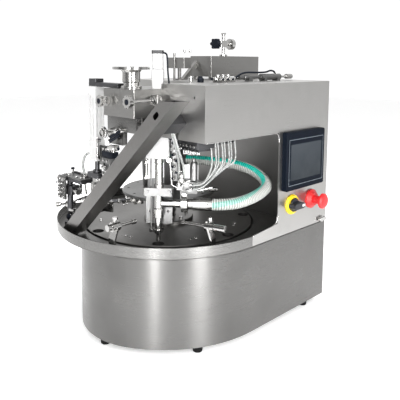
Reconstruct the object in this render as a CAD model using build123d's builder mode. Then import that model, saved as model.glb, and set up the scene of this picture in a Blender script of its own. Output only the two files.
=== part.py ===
from build123d import *
import os
from math import cos, sin, tan, radians, hypot

os.makedirs("parts", exist_ok=True)

# A bottle filling and capping machine, in millimetres. Z is up and the floor is z = 0.
# X points to the side with the control panel and Y to the rear.
# Plan places are measured from the turntable axis.

# Cabinet, table and housing
foot_height = 20.0
base_height = 215.0
rim_height = 24.0
housing_height = 389.0
head_height = 124.0
table_radius = 304.5
table_rear = 315.0
sheet = 2.0
deck_sheet = 3.0
base_corner_radius = 185.0
base_corner_turn = 60.0
head_left = 163.0
head_front = 165.0
head_step_y = -40.0
column_front = 238.0
window_rear = 97.0
window_corner = 14.0
sill_rise = 10.0
panel_depth = 15.0
control_reach = 46.0
seam_groove = 1.5
gap = 0.3

base_z = foot_height
seam_z = base_z + base_height
rim_z = seam_z + rim_height
top_z = seam_z + housing_height
head_z = top_z - head_height

# The turntable axis lies so that the whole machine is centred on the origin.
gland_reach = 22.0
cover_sheet = 1.5
axis_x = -control_reach / 2
axis_y = -(table_rear + gland_reach - table_radius) / 2

# Turntable and its pan
stations = 7
first_station = -48.0
station_pitch = 360.0 / stations
pocket_circle = 214.0
pocket_radius = 15.0
turntable_radius = 231.0
turntable_thickness = 14.0
turntable_top = seam_z + 3.0
pan_radius = 236.0
pan_drop = 15.0
shaft_radius = 30.0
shaft_bore = 20.0
post_radius = 18.0
hub_radius = 68.0
hub_height = 9.0
pan_floor = seam_z - pan_drop
pan_under = pan_floor - sheet
turntable_under = turntable_top - turntable_thickness

# Fixed plate over the turntable
plate_radius = 128.0
plate_top = 324.0
plate_thickness = 8.0
plate_under = plate_top - plate_thickness


def at(x, y, z, x_dir=(1, 0, 0), z_dir=(0, 0, 1)):
    """A plane at a plan place measured from the turntable axis."""
    return Plane(origin=(axis_x + x, axis_y + y, z), x_dir=x_dir, z_dir=z_dir)


def station(number, z, radius=None, side=0.0, z_dir=None):
    """A plane at a station: its X runs along the turntable's edge and its Y points inwards."""
    turn = radians(first_station - number * station_pitch)
    reach = pocket_circle if radius is None else radius
    x = reach * cos(turn) - side * sin(turn)
    y = reach * sin(turn) + side * cos(turn)
    if z_dir == "out":
        return at(x, y, z, x_dir=(-sin(turn), cos(turn), 0), z_dir=(cos(turn), sin(turn), 0))
    if z_dir == "side":
        return at(x, y, z, x_dir=(0, 0, -1), z_dir=(-sin(turn), cos(turn), 0))
    return at(x, y, z, x_dir=(-sin(turn), cos(turn), 0))


def disc(plane, radius, height, mode=Mode.ADD):
    """A round bar, or a round hole, standing on a plane."""
    with BuildSketch(plane) as shape:
        Circle(radius)
    extrude(shape.sketch, amount=height, mode=mode)


def ring(plane, outer, inner, height, mode=Mode.ADD):
    """A round tube standing on a plane."""
    with BuildSketch(plane) as shape:
        Circle(outer)
        Circle(inner, mode=Mode.SUBTRACT)
    extrude(shape.sketch, amount=height, mode=mode)


def block(plane, width, depth, height, radius=0.0, mode=Mode.ADD):
    """A box standing on a plane, with its upright edges rounded."""
    with BuildSketch(plane) as shape:
        if radius > 0:
            RectangleRounded(width, depth, radius)
        else:
            Rectangle(width, depth)
    extrude(shape.sketch, amount=height, mode=mode)


def hexagon(plane, across, height, mode=Mode.ADD):
    """A hexagon bar standing on a plane."""
    with BuildSketch(plane) as shape:
        RegularPolygon(across / 2, 6, major_radius=False)
    extrude(shape.sketch, amount=height, mode=mode)


def turned(plane, profile, mode=Mode.ADD):
    """A turned piece: the profile is a list of radius and height pairs along the plane's axis."""
    side = Plane(origin=plane.origin, x_dir=plane.x_dir, z_dir=-plane.y_dir)
    with BuildSketch(side) as half:
        with BuildLine():
            Polyline([(0, profile[0][1])] + profile + [(0, profile[-1][1])], close=True)
        make_face()
    revolve(half.sketch, axis=Axis(plane.origin, plane.z_dir), mode=mode)


def save(piece, name):
    piece.part.label = name
    export_step(piece.part, f"parts/{name}.step")


# Plan outline of the cabinet: straight right side, the table's own round front, and a
# tighter round corner that leads to the left side.
def base_outline(inset):
    turn = radians(-base_corner_turn)
    corner_x = (table_radius - base_corner_radius) * cos(turn)
    corner_y = (table_radius - base_corner_radius) * sin(turn)
    radius = table_radius - inset
    small = base_corner_radius - inset
    left = corner_x - small
    rear = table_rear - inset
    join = (radius * cos(turn), radius * sin(turn))
    half = radians(-(base_corner_turn + 180.0) / 2)
    with BuildLine() as edge:
        Line((radius, rear), (radius, 0))
        ThreePointArc((radius, 0), (radius * cos(turn / 2), radius * sin(turn / 2)), join)
        ThreePointArc(join, (corner_x + small * cos(half), corner_y + small * sin(half)), (left, corner_y))
        Line((left, corner_y), (left, rear))
        Line((left, rear), (radius, rear))
    make_face(edge.edges())


base_corner_x = (table_radius - base_corner_radius) * cos(radians(base_corner_turn))
base_left_x = base_corner_x - base_corner_radius
column_left = base_left_x


# Plan outline of the table: the round front and the square rear over the cabinet.
def table_outline(radius, left, rear):
    Circle(radius)
    with Locations(((radius + left) / 2, rear / 2)):
        Rectangle(radius - left, rear)


# Cabinet
base_wall_top = seam_z - deck_sheet
base_flange = 8.0
vent_width = 50.0
vent_height = 5.0

with BuildPart() as base_cabinet:
    with BuildSketch(at(0, 0, base_z)):
        base_outline(0)
    extrude(amount=base_wall_top - base_z)
    with BuildSketch(at(0, 0, base_z)):
        base_outline(base_flange)
    extrude(amount=sheet, mode=Mode.SUBTRACT)
    with BuildSketch(at(0, 0, base_z + sheet)):
        base_outline(sheet)
    extrude(amount=base_wall_top - base_z - sheet, mode=Mode.SUBTRACT)
    with BuildSketch(Plane(at(80, table_rear, base_z + 90).origin, x_dir=(1, 0, 0), z_dir=(0, 1, 0))):
        with GridLocations(vent_width + 14, 3 * vent_height, 3, 5):
            SlotOverall(vent_width, vent_height)
    extrude(amount=-2 * sheet, mode=Mode.SUBTRACT)
    disc(at(0, 0, pan_under), pan_radius + sheet + gap, pan_drop + sheet, Mode.SUBTRACT)
save(base_cabinet, "base_cabinet")

floor_plate = 3.0
floor_top = base_z + sheet + floor_plate
foot_radius = 13.5
foot_bolt_radius = 5.0
foot_places = [(73.0, -265.5), (250.0, -129.0), (281.5, 250.0), (-100.0, 290.0)]

with BuildPart() as base_floor:
    with BuildSketch(at(0, 0, base_z + sheet)):
        base_outline(sheet + gap)
        with Locations(*foot_places):
            Circle(foot_bolt_radius, mode=Mode.SUBTRACT)
    extrude(amount=floor_plate)
save(base_floor, "base_floor")

foot_top = base_z + sheet
with BuildPart() as rubber_feet:
    for x, y in foot_places:
        turned(at(x, y, 0), [(foot_radius - 3, 0), (foot_radius - 2, 1), (foot_radius, foot_top)])
        disc(at(x, y, 0), foot_bolt_radius, foot_top, Mode.SUBTRACT)
        disc(at(x, y, 0), foot_bolt_radius + 4, 7, Mode.SUBTRACT)
save(rubber_feet, "rubber_feet")

# Table deck with its round pan
with BuildPart() as table_deck:
    with BuildSketch(at(0, 0, seam_z - deck_sheet)):
        table_outline(table_radius - seam_groove, base_left_x, table_rear)
        Circle(pan_radius, mode=Mode.SUBTRACT)
    extrude(amount=deck_sheet)
    ring(at(0, 0, pan_floor), pan_radius + sheet, pan_radius, seam_z - pan_floor)
save(table_deck, "table_deck")

with BuildPart() as pan_plate:
    ring(at(0, 0, pan_under), pan_radius + sheet, shaft_radius + 6, sheet)
save(pan_plate, "pan_plate")

# The rim is rolled from short bands that meet at fine butt joints
rim_bands = 6
rim_band_angle = 41.0
weld_gap = 0.3

with BuildPart() as table_rim:
    with BuildSketch(at(0, 0, seam_z)):
        Circle(table_radius)
        Circle(table_radius - sheet, mode=Mode.SUBTRACT)
        with Locations(((table_radius + base_left_x) / 2, table_radius / 2)):
            Rectangle(table_radius - base_left_x, table_radius, mode=Mode.SUBTRACT)
        with PolarLocations(table_radius - sheet / 2, rim_bands - 1, -rim_band_angle, -rim_band_angle * (rim_bands - 1),
                            endpoint=False):
            Rectangle(3 * sheet, weld_gap, mode=Mode.SUBTRACT)
    extrude(amount=rim_height)
save(table_rim, "table_rim")

# Upper housing: one folded sheet body with a side panel, an overhanging head and a rear column
inner_right = table_radius - sheet
inner_rear = table_rear - sheet
rear_flange = 14.0
housing_width = table_radius - column_left
housing_mid_x = (table_radius + column_left) / 2
rear_plane = at(housing_mid_x, table_rear, seam_z + housing_height / 2, z_dir=(0, 1, 0))

sight_x, sight_z = 272.0, head_z + 97.0
sight_radius = 2.5

with BuildPart() as upper_housing:
    with BuildSketch(at(0, 0, head_z)):
        with BuildLine():
            Polyline(
                (table_radius, table_rear), (table_radius, -head_front), (head_left, -head_front),
                (head_left, head_step_y), (column_left, head_step_y), (column_left, table_rear), close=True)
        make_face()
    extrude(amount=head_height)
    with BuildSketch(at(0, 0, seam_z)):
        with BuildLine():
            Polyline(
                (table_radius, table_rear), (table_radius, column_front),
                (column_left, column_front), (column_left, table_rear), close=True)
        make_face()
    extrude(amount=head_z - seam_z)
    with BuildSketch(at(0, 0, head_z + sheet)):
        with BuildLine():
            Polyline(
                (inner_right, inner_rear), (inner_right, sheet - head_front),
                (head_left + sheet, sheet - head_front), (head_left + sheet, head_step_y + sheet),
                (column_left + sheet, head_step_y + sheet), (column_left + sheet, inner_rear), close=True)
        make_face()
    extrude(amount=head_height - 2 * sheet, mode=Mode.SUBTRACT)
    with BuildSketch(at(0, 0, seam_z + sheet)):
        with BuildLine():
            Polyline(
                (inner_right, inner_rear), (inner_right, column_front + sheet),
                (column_left + sheet, column_front + sheet), (column_left + sheet, inner_rear), close=True)
        make_face()
    extrude(amount=head_z - seam_z, mode=Mode.SUBTRACT)
    block(rear_plane, housing_width - 2 * rear_flange, housing_height - 2 * rear_flange, -sheet,
          mode=Mode.SUBTRACT)
    with BuildSketch(at(table_radius - sheet, 0, 0, x_dir=(0, 1, 0), z_dir=(1, 0, 0))):
        with BuildLine():
            Polyline(
                (0, seam_z), (column_front, seam_z), (column_front, head_z + 1), (0, head_z + 1),
                (0, head_z), (window_rear, head_z), (window_rear, rim_z + sill_rise), (0, rim_z), close=True)
        make_face()
        corners = vertices().filter_by(lambda v: v.Z > rim_z + 1 and v.Z < head_z + 0.5 and v.Y > axis_y + 1)
        corners = corners.filter_by(lambda v: v.Y < axis_y + column_front - 1)
        fillet(corners, window_corner)
    extrude(amount=sheet)
    disc(at(sight_x, -head_front, sight_z, z_dir=(0, 1, 0)), sight_radius, sheet, Mode.SUBTRACT)
save(upper_housing, "upper_housing")

# Rear cover with its screws and the swing latch at the panel's edge
screw_inset = 7.0
with BuildPart() as rear_cover:
    block(rear_plane, housing_width, housing_height, cover_sheet)
    with BuildSketch(rear_plane):
        with GridLocations(70, 12, 3, 7):
            SlotOverall(vent_width, vent_height)
        with GridLocations(housing_width - 2 * screw_inset, housing_height / 2 - screw_inset, 2, 3):
            Circle(2.3)
    extrude(amount=cover_sheet, mode=Mode.SUBTRACT)
save(rear_cover, "rear_cover")

# Foot bolts and cover screws
with BuildPart() as cabinet_bolts:
    for x, y in foot_places:
        hexagon(at(x, y, 2), 13, 5)
        disc(at(x, y, 7), foot_bolt_radius - gap, floor_top - 7 + 9)
        hexagon(at(x, y, floor_top), 16, 7)
    with BuildSketch(rear_plane.offset(cover_sheet)) as heads:
        with GridLocations(housing_width - 2 * screw_inset, housing_height / 2 - screw_inset, 2, 3):
            Circle(4)
            RegularPolygon(1.3, 6, mode=Mode.SUBTRACT)
    extrude(heads.sketch, amount=2.4)
    with BuildSketch(rear_plane) as shanks:
        with GridLocations(housing_width - 2 * screw_inset, housing_height / 2 - screw_inset, 2, 3):
            Circle(2)
    extrude(shanks.sketch, amount=cover_sheet)
save(cabinet_bolts, "cabinet_bolts")

latch_z = seam_z + 7.0
latch_plane = at(table_radius, table_rear - 20, latch_z, x_dir=(0, 1, 0), z_dir=(1, 0, 0))
with BuildPart() as latch_handle:
    disc(latch_plane.offset(gap), 8, 5)
    block(latch_plane.offset(gap + 3), 30, 9, 5, 3)
save(latch_handle, "latch_handle")

# Inlets on the cabinet's rear wall
gland_plane = at(230, table_rear, base_z + 60, z_dir=(0, 1, 0))
air_plane = at(180, table_rear, base_z + 60, z_dir=(0, 1, 0))
gland_radius = 6.0
air_radius = 4.0
with BuildPart() as cord_gland:
    hexagon(gland_plane, 24, 6)
    turned(gland_plane, [(10, 6), (10, 14), (8.5, gland_reach)])
    disc(gland_plane, gland_radius, gland_reach, Mode.SUBTRACT)
save(cord_gland, "cord_gland")
with BuildPart() as air_inlet:
    hexagon(air_plane, 17, 7)
    turned(air_plane, [(7.5, 7), (7.5, 16), (6.5, 18)])
    disc(air_plane, air_radius, 18, Mode.SUBTRACT)
save(air_inlet, "air_inlet")

# Turntable: a disc with a round pocket at each station, its clamp hub and its hollow shaft
with BuildPart() as turntable:
    disc(at(0, 0, turntable_under), turntable_radius, turntable_thickness)
    chamfer(turntable.edges().filter_by(GeomType.CIRCLE).group_by(Axis.Z)[-1], 1.0)
    with BuildSketch(at(0, 0, turntable_under)):
        Circle(shaft_radius)
        with PolarLocations(pocket_circle, stations, first_station):
            Circle(pocket_radius)
    extrude(amount=turntable_thickness, mode=Mode.SUBTRACT)
save(turntable, "turntable")

rim_screw_circle = 188.0
with BuildPart() as turntable_screws:
    for turn in range(stations):
        mid = radians(first_station + (turn + 0.5) * station_pitch)
        for side in (-7, 7):
            x = rim_screw_circle * cos(mid) - side * sin(mid)
            y = rim_screw_circle * sin(mid) + side * cos(mid)
            turned(at(x, y, turntable_top), [(3.6, 0), (3.6, 1.2), (2.4, 2.2)])
    with BuildSketch(at(0, 0, turntable_top + hub_height)) as heads:
        with PolarLocations(50, 6):
            Circle(5)
            RegularPolygon(2.2, 6, mode=Mode.SUBTRACT)
    extrude(heads.sketch, amount=5)
save(turntable_screws, "turntable_screws")

with BuildPart() as clamp_hub:
    turned(at(0, 0, turntable_top), [(hub_radius, 0), (hub_radius, hub_height - 2), (hub_radius - 2, hub_height)])
    disc(at(0, 0, turntable_top), shaft_bore, hub_height, Mode.SUBTRACT)
save(clamp_hub, "clamp_hub")

gearbox_size = 150.0
gearbox_height = 118.0
gearbox_flange = 8.0
gearbox_top = floor_top + gearbox_height + gearbox_flange
post_seat = 20.0
with BuildPart() as drive_shaft:
    ring(at(0, 0, gearbox_top + gap), shaft_radius, shaft_bore, turntable_top - gearbox_top - gap)
save(drive_shaft, "drive_shaft")

bearing_radius = 45.0
bearing_height = 20.0
running_gap = 0.05
bearing_top = pan_under - 10.0
with BuildPart() as bearing_housing:
    turned(at(0, 0, 0), [(62, bearing_top - bearing_height - 4), (62, pan_under - 10), (84, pan_under - 10),
                         (84, pan_under)])
    disc(at(0, 0, bearing_top - bearing_height), bearing_radius, 60, Mode.SUBTRACT)
    disc(at(0, 0, bearing_top - bearing_height - 4), shaft_radius + 4, 10, Mode.SUBTRACT)
    with BuildSketch(at(0, 0, pan_under - 10)):
        with PolarLocations(73, 6):
            Circle(4)
    extrude(amount=10, mode=Mode.SUBTRACT)
save(bearing_housing, "bearing_housing")

with BuildPart() as main_bearing:
    ring(at(0, 0, bearing_top - bearing_height), bearing_radius, shaft_radius + running_gap, bearing_height)
    ring(at(0, 0, bearing_top - 2), bearing_radius - 4, shaft_radius + 5, 2, Mode.SUBTRACT)
save(main_bearing, "main_bearing")

# Index gearbox, motor and belt on the cabinet floor
belt_z = floor_top + 70.0
pulley_radius = 24.0
pulley_width = 18.0
pulley_x = gearbox_size / 2 + 10.0
motor_y = 150.0
motor_radius = 38.0
belt_thickness = 3.0
input_shaft = 8.0
with BuildPart() as index_gearbox:
    block(at(0, 0, floor_top), gearbox_size, gearbox_size, gearbox_height, 6)
    disc(at(0, 0, floor_top + gearbox_height), 62, gearbox_flange)
    disc(at(0, 0, gearbox_top - post_seat), post_radius, post_seat, Mode.SUBTRACT)
    disc(at(gearbox_size / 2, 0, belt_z, x_dir=(0, 1, 0), z_dir=(1, 0, 0)), 22, 5)
    disc(at(gearbox_size / 2 - 30, 0, belt_z, x_dir=(0, 1, 0), z_dir=(1, 0, 0)),
         input_shaft + running_gap, 35, Mode.SUBTRACT)
save(index_gearbox, "index_gearbox")

with BuildPart() as drive_motor:
    motor_plane = at(pulley_x - 6, motor_y, belt_z, x_dir=(0, 1, 0), z_dir=(-1, 0, 0))
    block(motor_plane, 84, 84, 40, 6)
    disc(motor_plane.offset(40), motor_radius, 120)
    disc(motor_plane.offset(160), motor_radius - 6, 14)
    block(at(pulley_x - 46, motor_y, floor_top), 80, 70, belt_z - floor_top - 30)
    disc(motor_plane, input_shaft + running_gap, 38, Mode.SUBTRACT)
save(drive_motor, "drive_motor")


def toothed_pulley(y, shaft_length):
    """A belt pulley on its own shaft, with teeth cut round its rim."""
    face = at(pulley_x, y, belt_z, x_dir=(0, 1, 0), z_dir=(1, 0, 0))
    with BuildSketch(face) as rim:
        Circle(pulley_radius)
        with PolarLocations(pulley_radius, 24):
            Circle(1.2, mode=Mode.SUBTRACT)
    extrude(rim.sketch, amount=pulley_width)
    disc(face.offset(-1.5), pulley_radius + 3, 1.5)
    disc(face.offset(pulley_width), pulley_radius + 3, 1.5)
    disc(face.offset(-shaft_length), input_shaft, shaft_length + pulley_width + 6)


with BuildPart() as input_pulley:
    toothed_pulley(0, 36)
save(input_pulley, "input_pulley")
with BuildPart() as motor_pulley:
    toothed_pulley(motor_y, 36)
save(motor_pulley, "motor_pulley")

with BuildPart() as drive_belt:
    belt_inner = pulley_radius + gap
    belt_plane = at(pulley_x + 1, motor_y / 2, belt_z, x_dir=(0, 1, 0), z_dir=(1, 0, 0))
    with BuildSketch(belt_plane):
        SlotCenterToCenter(motor_y, 2 * (belt_inner + belt_thickness))
        SlotCenterToCenter(motor_y, 2 * belt_inner, mode=Mode.SUBTRACT)
    extrude(amount=pulley_width - 2)
save(drive_belt, "drive_belt")

# Fixed post through the hollow shaft, with the plate that carries the stations
with BuildPart() as centre_post:
    disc(at(0, 0, gearbox_top - post_seat), post_radius, plate_under - gearbox_top + post_seat)
    disc(at(0, 0, plate_under - 14), 42, 14)
save(centre_post, "centre_post")

with BuildPart() as centre_plate:
    disc(at(0, 0, plate_under), plate_radius, plate_thickness)
    chamfer(centre_plate.edges().filter_by(GeomType.CIRCLE), 1.0)
    with BuildSketch(at(0, 0, plate_under)):
        with PolarLocations(plate_radius - 16, 10, 12):
            Circle(3.5)
    extrude(amount=plate_thickness, mode=Mode.SUBTRACT)
save(centre_plate, "centre_plate")


# Lift head: a sheet box on the side of the head, over the filling station
lift_left = 45.0
lift_front = -245.0
lift_top = top_z - 12.0
lift_depth = 64.0
lift_bottom = lift_top - lift_depth
lift_step_x = 112.0
lift_step_y = -180.0
lift_step_z = lift_bottom - 36.0
lift_width = head_left - lift_left
lift_length = head_step_y - lift_front
lift_mid_x = lift_left + lift_width / 2
lift_mid_y = lift_front + lift_length / 2
drive_radius = 4.0
thin_rod_radius = 2.0
thin_rod_side = -17.0
rod_clearance = 0.5
nozzle_travel = 25.0
arm_thickness = 6.0
arm_z = lift_bottom + 8.0

# Stroke screw beside the lift head, in a lug on its right side
lug_reach = 20.0
lug_depth = 9.0
lug_height = 24.0
lug_y = -190.0
screw_x = head_left + 10.0
screw_z = lift_bottom + 39.0
screw_radius = 3.5

with BuildPart() as lift_head:
    block(at(lift_mid_x, lift_mid_y, lift_bottom), lift_width, lift_length, lift_depth)
    step_width = lift_step_x - lift_left
    step_length = head_step_y - lift_step_y
    block(at(lift_left + step_width / 2, head_step_y - step_length / 2, lift_step_z),
          step_width, step_length, lift_bottom - lift_step_z)
    fillet(lift_head.edges().filter_by(Axis.Z).sort_by(Axis.Y)[:2], 3)
    block(at(lift_mid_x, lift_mid_y, lift_bottom + sheet), lift_width - 2 * sheet, lift_length - 2 * sheet,
          lift_depth - 2 * sheet, mode=Mode.SUBTRACT)
    block(at(head_left + lug_reach / 2, lug_y, screw_z - lug_height / 2), lug_reach, lug_depth, lug_height, 2)
    disc(at(screw_x, lug_y - lug_depth / 2, screw_z, z_dir=(0, 1, 0)), screw_radius + running_gap, lug_depth,
         Mode.SUBTRACT)
    disc(station(0, lift_top - sheet), drive_radius + rod_clearance, sheet, Mode.SUBTRACT)
    disc(station(0, lift_bottom, side=thin_rod_side), thin_rod_radius + rod_clearance, sheet, Mode.SUBTRACT)
save(lift_head, "lift_head")

# Lift cylinder and the rod that it drives, cranked inside the box to run down beside the valve
lift_cylinder_height = 88.0
lift_bore = lift_cylinder_height - 22.0
lift_body = 27.0
lift_body_height = 44.0
lift_cap_height = 8.0
with BuildPart() as lift_cylinder:
    block(station(0, lift_top), lift_body, lift_body, lift_body_height, 5)
    block(station(0, lift_top + lift_body_height), lift_body - 5, lift_body - 5, 2, 5)
    block(station(0, lift_top + lift_body_height + 2), lift_body - 3, lift_body - 3,
          lift_cylinder_height - lift_body_height - 2 - lift_cap_height, 5)
    block(station(0, lift_top + lift_cylinder_height - lift_cap_height), lift_body - 1, lift_body - 1,
          lift_cap_height, 3)
    disc(station(0, lift_top), drive_radius + running_gap, lift_bore, Mode.SUBTRACT)
save(lift_cylinder, "lift_cylinder")

# Filling station: the mount block under the head, the dosing cylinder, the clamp bar and the back plate
mount_height = 52.0
mount_bottom = head_z - mount_height
bar_top = 377.0
bar_height = 19.0
bar_bottom = bar_top - bar_height
valve_radius = 11.0
collar_radius = 13.5
collar_height = 24.0
collar_bottom = bar_bottom - 54.0
nozzle_radius = 8.5
nozzle_bottom = turntable_top + 8.0
nozzle_seat = 26.0
back_face = pocket_circle - 18.0
back_thickness = 6.0
back_bottom = 283.0
port_z = bar_bottom - 20.0
port_radius = 9.5

with BuildPart() as filling_mount:
    block(station(0, mount_bottom), 60, 30, mount_height, 3)
    block(station(0, head_z, side=-14), 26, 18, lift_bottom - head_z)
    disc(station(0, mount_bottom, side=thin_rod_side), thin_rod_radius + rod_clearance,
         lift_bottom - mount_bottom, Mode.SUBTRACT)
save(filling_mount, "filling_mount")

dosing_height = mount_bottom - bar_top
with BuildPart() as dosing_cylinder:
    turned(station(0, bar_top, side=2), [(11.5, 0), (11.5, 9), (10, 10), (10, dosing_height - 12),
                                         (11.5, dosing_height - 11), (11.5, dosing_height)])
save(dosing_cylinder, "dosing_cylinder")

# The clamp bar hangs on a tapered bar from the lift head's lower step
hanger_x, hanger_y = 106.5, -168.5
hanger_thickness = 5.0

with BuildPart() as station_plate:
    block(station(0, bar_bottom, radius=back_face + 12), 70, 36, bar_height, 3)
    block(station(0, back_bottom, radius=back_face - back_thickness / 2), 64, back_thickness,
          bar_bottom - back_bottom)
    arm_end = back_face - back_thickness
    block(station(0, plate_top, radius=(arm_end + plate_radius - 30) / 2), 40, arm_end - plate_radius + 30, 12)
    disc(station(0, bar_bottom, side=thin_rod_side), thin_rod_radius + rod_clearance, bar_height, Mode.SUBTRACT)
    for side in (-26, 26):
        screw_face = station(0, bar_bottom + bar_height / 2, radius=back_face + 30, side=side, z_dir="out")
        disc(screw_face, 5.5, 4)
        hexagon(screw_face.offset(1.5), 4, 3, Mode.SUBTRACT)
    with BuildSketch(at(hanger_x, 0, 0, x_dir=(0, 1, 0), z_dir=(1, 0, 0))) as hanger:
        with BuildLine():
            Polyline((hanger_y - 5, bar_top - 1), (hanger_y + 5, bar_top - 1), (hanger_y + 11, lift_step_z),
                     (hanger_y - 11, lift_step_z), close=True)
        make_face()
    extrude(hanger.sketch, amount=hanger_thickness / 2, both=True)
    for side in (-22, 22):
        dot = station(0, back_bottom + 30, radius=back_face, side=side, z_dir="out")
        disc(dot, 3, -back_thickness, Mode.SUBTRACT)
save(station_plate, "station_plate")

with BuildPart() as filling_valve:
    turned(station(0, collar_bottom), [(collar_radius - 1, 0), (collar_radius, 1), (collar_radius, collar_height - 2),
                                       (collar_radius - 2, collar_height), (valve_radius, collar_height),
                                       (valve_radius, bar_bottom - collar_bottom)])
    disc(station(0, port_z, side=8, z_dir="side"), port_radius, 48)
    disc(station(0, collar_bottom), nozzle_radius + running_gap, nozzle_seat + nozzle_travel + 1, Mode.SUBTRACT)
save(filling_valve, "filling_valve")

nozzle_top = collar_bottom + nozzle_seat
nozzle_arm_z = nozzle_bottom + 22.0
with BuildPart() as nozzle_tube:
    turned(station(0, nozzle_bottom), [(5, 0), (6, 2), (6, 16), (nozzle_radius, 19),
                                       (nozzle_radius, nozzle_top - nozzle_bottom)])
    disc(station(0, nozzle_arm_z), nozzle_radius + 4, 7)
    block(station(0, nozzle_arm_z, side=thin_rod_side / 2), -thin_rod_side, 7, 7)
    disc(station(0, nozzle_arm_z, side=thin_rod_side), 5, 7)
    disc(station(0, nozzle_bottom), 3.5, nozzle_top - nozzle_bottom, Mode.SUBTRACT)
save(nozzle_tube, "nozzle_tube")

with BuildPart() as lift_rod:
    disc(station(0, arm_z), drive_radius, lift_top - arm_z + 32)
    block(station(0, arm_z, side=thin_rod_side / 2), 8 - thin_rod_side, 12, arm_thickness)
    disc(station(0, nozzle_arm_z + 7, side=thin_rod_side), thin_rod_radius, arm_z - nozzle_arm_z - 7)
save(lift_rod, "lift_rod")

# Product hose with the clamp and ferrule at the valve and the spigot on the manifold
hose_radius = 14.0
hose_start_side = 129.0
clamp_side = 56.0
with BuildPart() as hose_fitting:
    turned(station(0, port_z, side=clamp_side, z_dir="side"),
           [(20, 0), (20, 14), (13, 17), (13, 26), (15, 27), (15, hose_start_side - clamp_side)])
    block(station(0, port_z + 16, side=clamp_side + 7), 10, 10, 10)
save(hose_fitting, "hose_fitting")

first_run = 26.0


def beside_valve(side):
    """A point on the side port's axis, at a distance from the valve."""
    turn = radians(first_station)
    return (pocket_circle * cos(turn) - side * sin(turn), pocket_circle * sin(turn) + side * cos(turn), port_z)


hose_end = (20.0, 50.0, 400.0)
hose_points = [beside_valve(hose_start_side), beside_valve(hose_start_side + first_run), (275.0, -18.0, 338.0),
               (272.0, 60.0, 343.0), (262.0, 118.0, 360.0), (190.0, 130.0, 390.0), (100.0, 90.0, 402.0), hose_end]


def tube_radii(points):
    """A bend radius for each corner, from the shorter run beside it and the turn there."""
    found = []
    for before, corner, after in zip(points, points[1:], points[2:]):
        first = Vector(*corner) - Vector(*before)
        second = Vector(*after) - Vector(*corner)
        turn = radians(first.get_angle(second))
        found.append(0.45 * min(first.length, second.length) / tan(turn / 2))
    return found


def tube(points, radius):
    """A plain tube along a route, with its length, in the object's own frame."""
    radii = tube_radii(points)
    with BuildLine() as line:
        FilletPolyline(*[(axis_x + x, axis_y + y, z) for x, y, z in points], radius=radii)
    route = line.wire()
    with BuildSketch(Plane(origin=route @ 0, z_dir=route % 0)) as section:
        Circle(radius)
    sweep(section.sketch, path=route)
    print("tube", round(route.length), "mm, bend radii", [round(value) for value in radii])
    return route.length


with BuildPart() as product_hose:
    hose_length = tube(hose_points, hose_radius)
print("volume over section times length", product_hose.part.volume / (3.14159 * hose_radius ** 2 * hose_length))
save(product_hose, "product_hose")

hose_last = hose_points[-2]
hose_run = hypot(hose_last[0] - hose_end[0], hose_last[1] - hose_end[1], hose_last[2] - hose_end[2])
hose_axis = tuple((last - end) / hose_run for last, end in zip(hose_last, hose_end))
spigot_length = 18.0
manifold_size = 44.0
manifold_x = hose_end[0] - hose_axis[0] * (spigot_length + manifold_size / 2)
manifold_y = hose_end[1] - hose_axis[1] * (spigot_length + manifold_size / 2)
with BuildPart() as product_manifold:
    block(at(manifold_x, manifold_y, plate_top, x_dir=(hose_axis[0], hose_axis[1], 0)), manifold_size, manifold_size,
          hose_end[2] + 26 - plate_top, 4)
    spigot_plane = at(*hose_end, x_dir=(-hose_axis[1], hose_axis[0], 0), z_dir=tuple(-part for part in hose_axis))
    disc(spigot_plane, hose_radius + 1, spigot_length + 6)
    disc(at(manifold_x, manifold_y, hose_end[2] + 26), 15, 10)
save(product_manifold, "product_manifold")

# Product inlet on the lift head
inlet_x = 115.0
inlet_y = -215.0
inlet_bore = 14.0
inlet_length = 50.0
with BuildPart() as product_inlet:
    turned(at(inlet_x, inlet_y, lift_top), [(24, 0), (24, 6), (18, 7), (18, 14), (20.5, 16), (20.5, inlet_length - 12),
                                            (24, inlet_length - 7), (43, inlet_length - 6), (43, inlet_length)])
    disc(at(inlet_x, inlet_y, lift_top + 4), inlet_bore, inlet_length, Mode.SUBTRACT)
    with BuildSketch(at(inlet_x, inlet_y, lift_top + inlet_length - 6)):
        with PolarLocations(34, 4, 45):
            Circle(3.3)
    extrude(amount=6, mode=Mode.SUBTRACT)
save(product_inlet, "product_inlet")


def lobed_grip(plane, radius, length):
    """A round grip with scallops round its edge and a shallow recess in its face."""
    with BuildSketch(plane) as grip:
        Circle(radius)
        with PolarLocations(radius + 1.5, 8):
            Circle(0.26 * radius, mode=Mode.SUBTRACT)
    extrude(grip.sketch, amount=length)
    disc(plane.offset(length), 0.5 * radius, -1.5, Mode.SUBTRACT)


flow_x, flow_z = 63.0, lift_bottom + 35.0
flow_radius = 13.5
grip_length = 9.0
with BuildPart() as flow_knob:
    flow_face = at(flow_x, lift_front, flow_z, z_dir=(0, -1, 0))
    hexagon(flow_face.offset(gap), 22, 6)
    disc(flow_face.offset(gap), screw_radius, 18)
    lobed_grip(flow_face.offset(16), flow_radius, grip_length)
save(flow_knob, "flow_knob")

stroke_radius = 14.5
stroke_length = 84.0
with BuildPart() as stroke_knob:
    screw_end = at(screw_x, lug_y + lug_depth / 2 + 6, screw_z, z_dir=(0, -1, 0))
    disc(screw_end, screw_radius, stroke_length + 2)
    for start in (0, 6 + lug_depth + gap):
        hexagon(screw_end.offset(start), 17, 6 - gap)
    hexagon(screw_end.offset(6 + lug_depth + gap + 7), 14, 4)
    lobed_grip(screw_end.offset(stroke_length), stroke_radius, grip_length)
save(stroke_knob, "stroke_knob")

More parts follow.
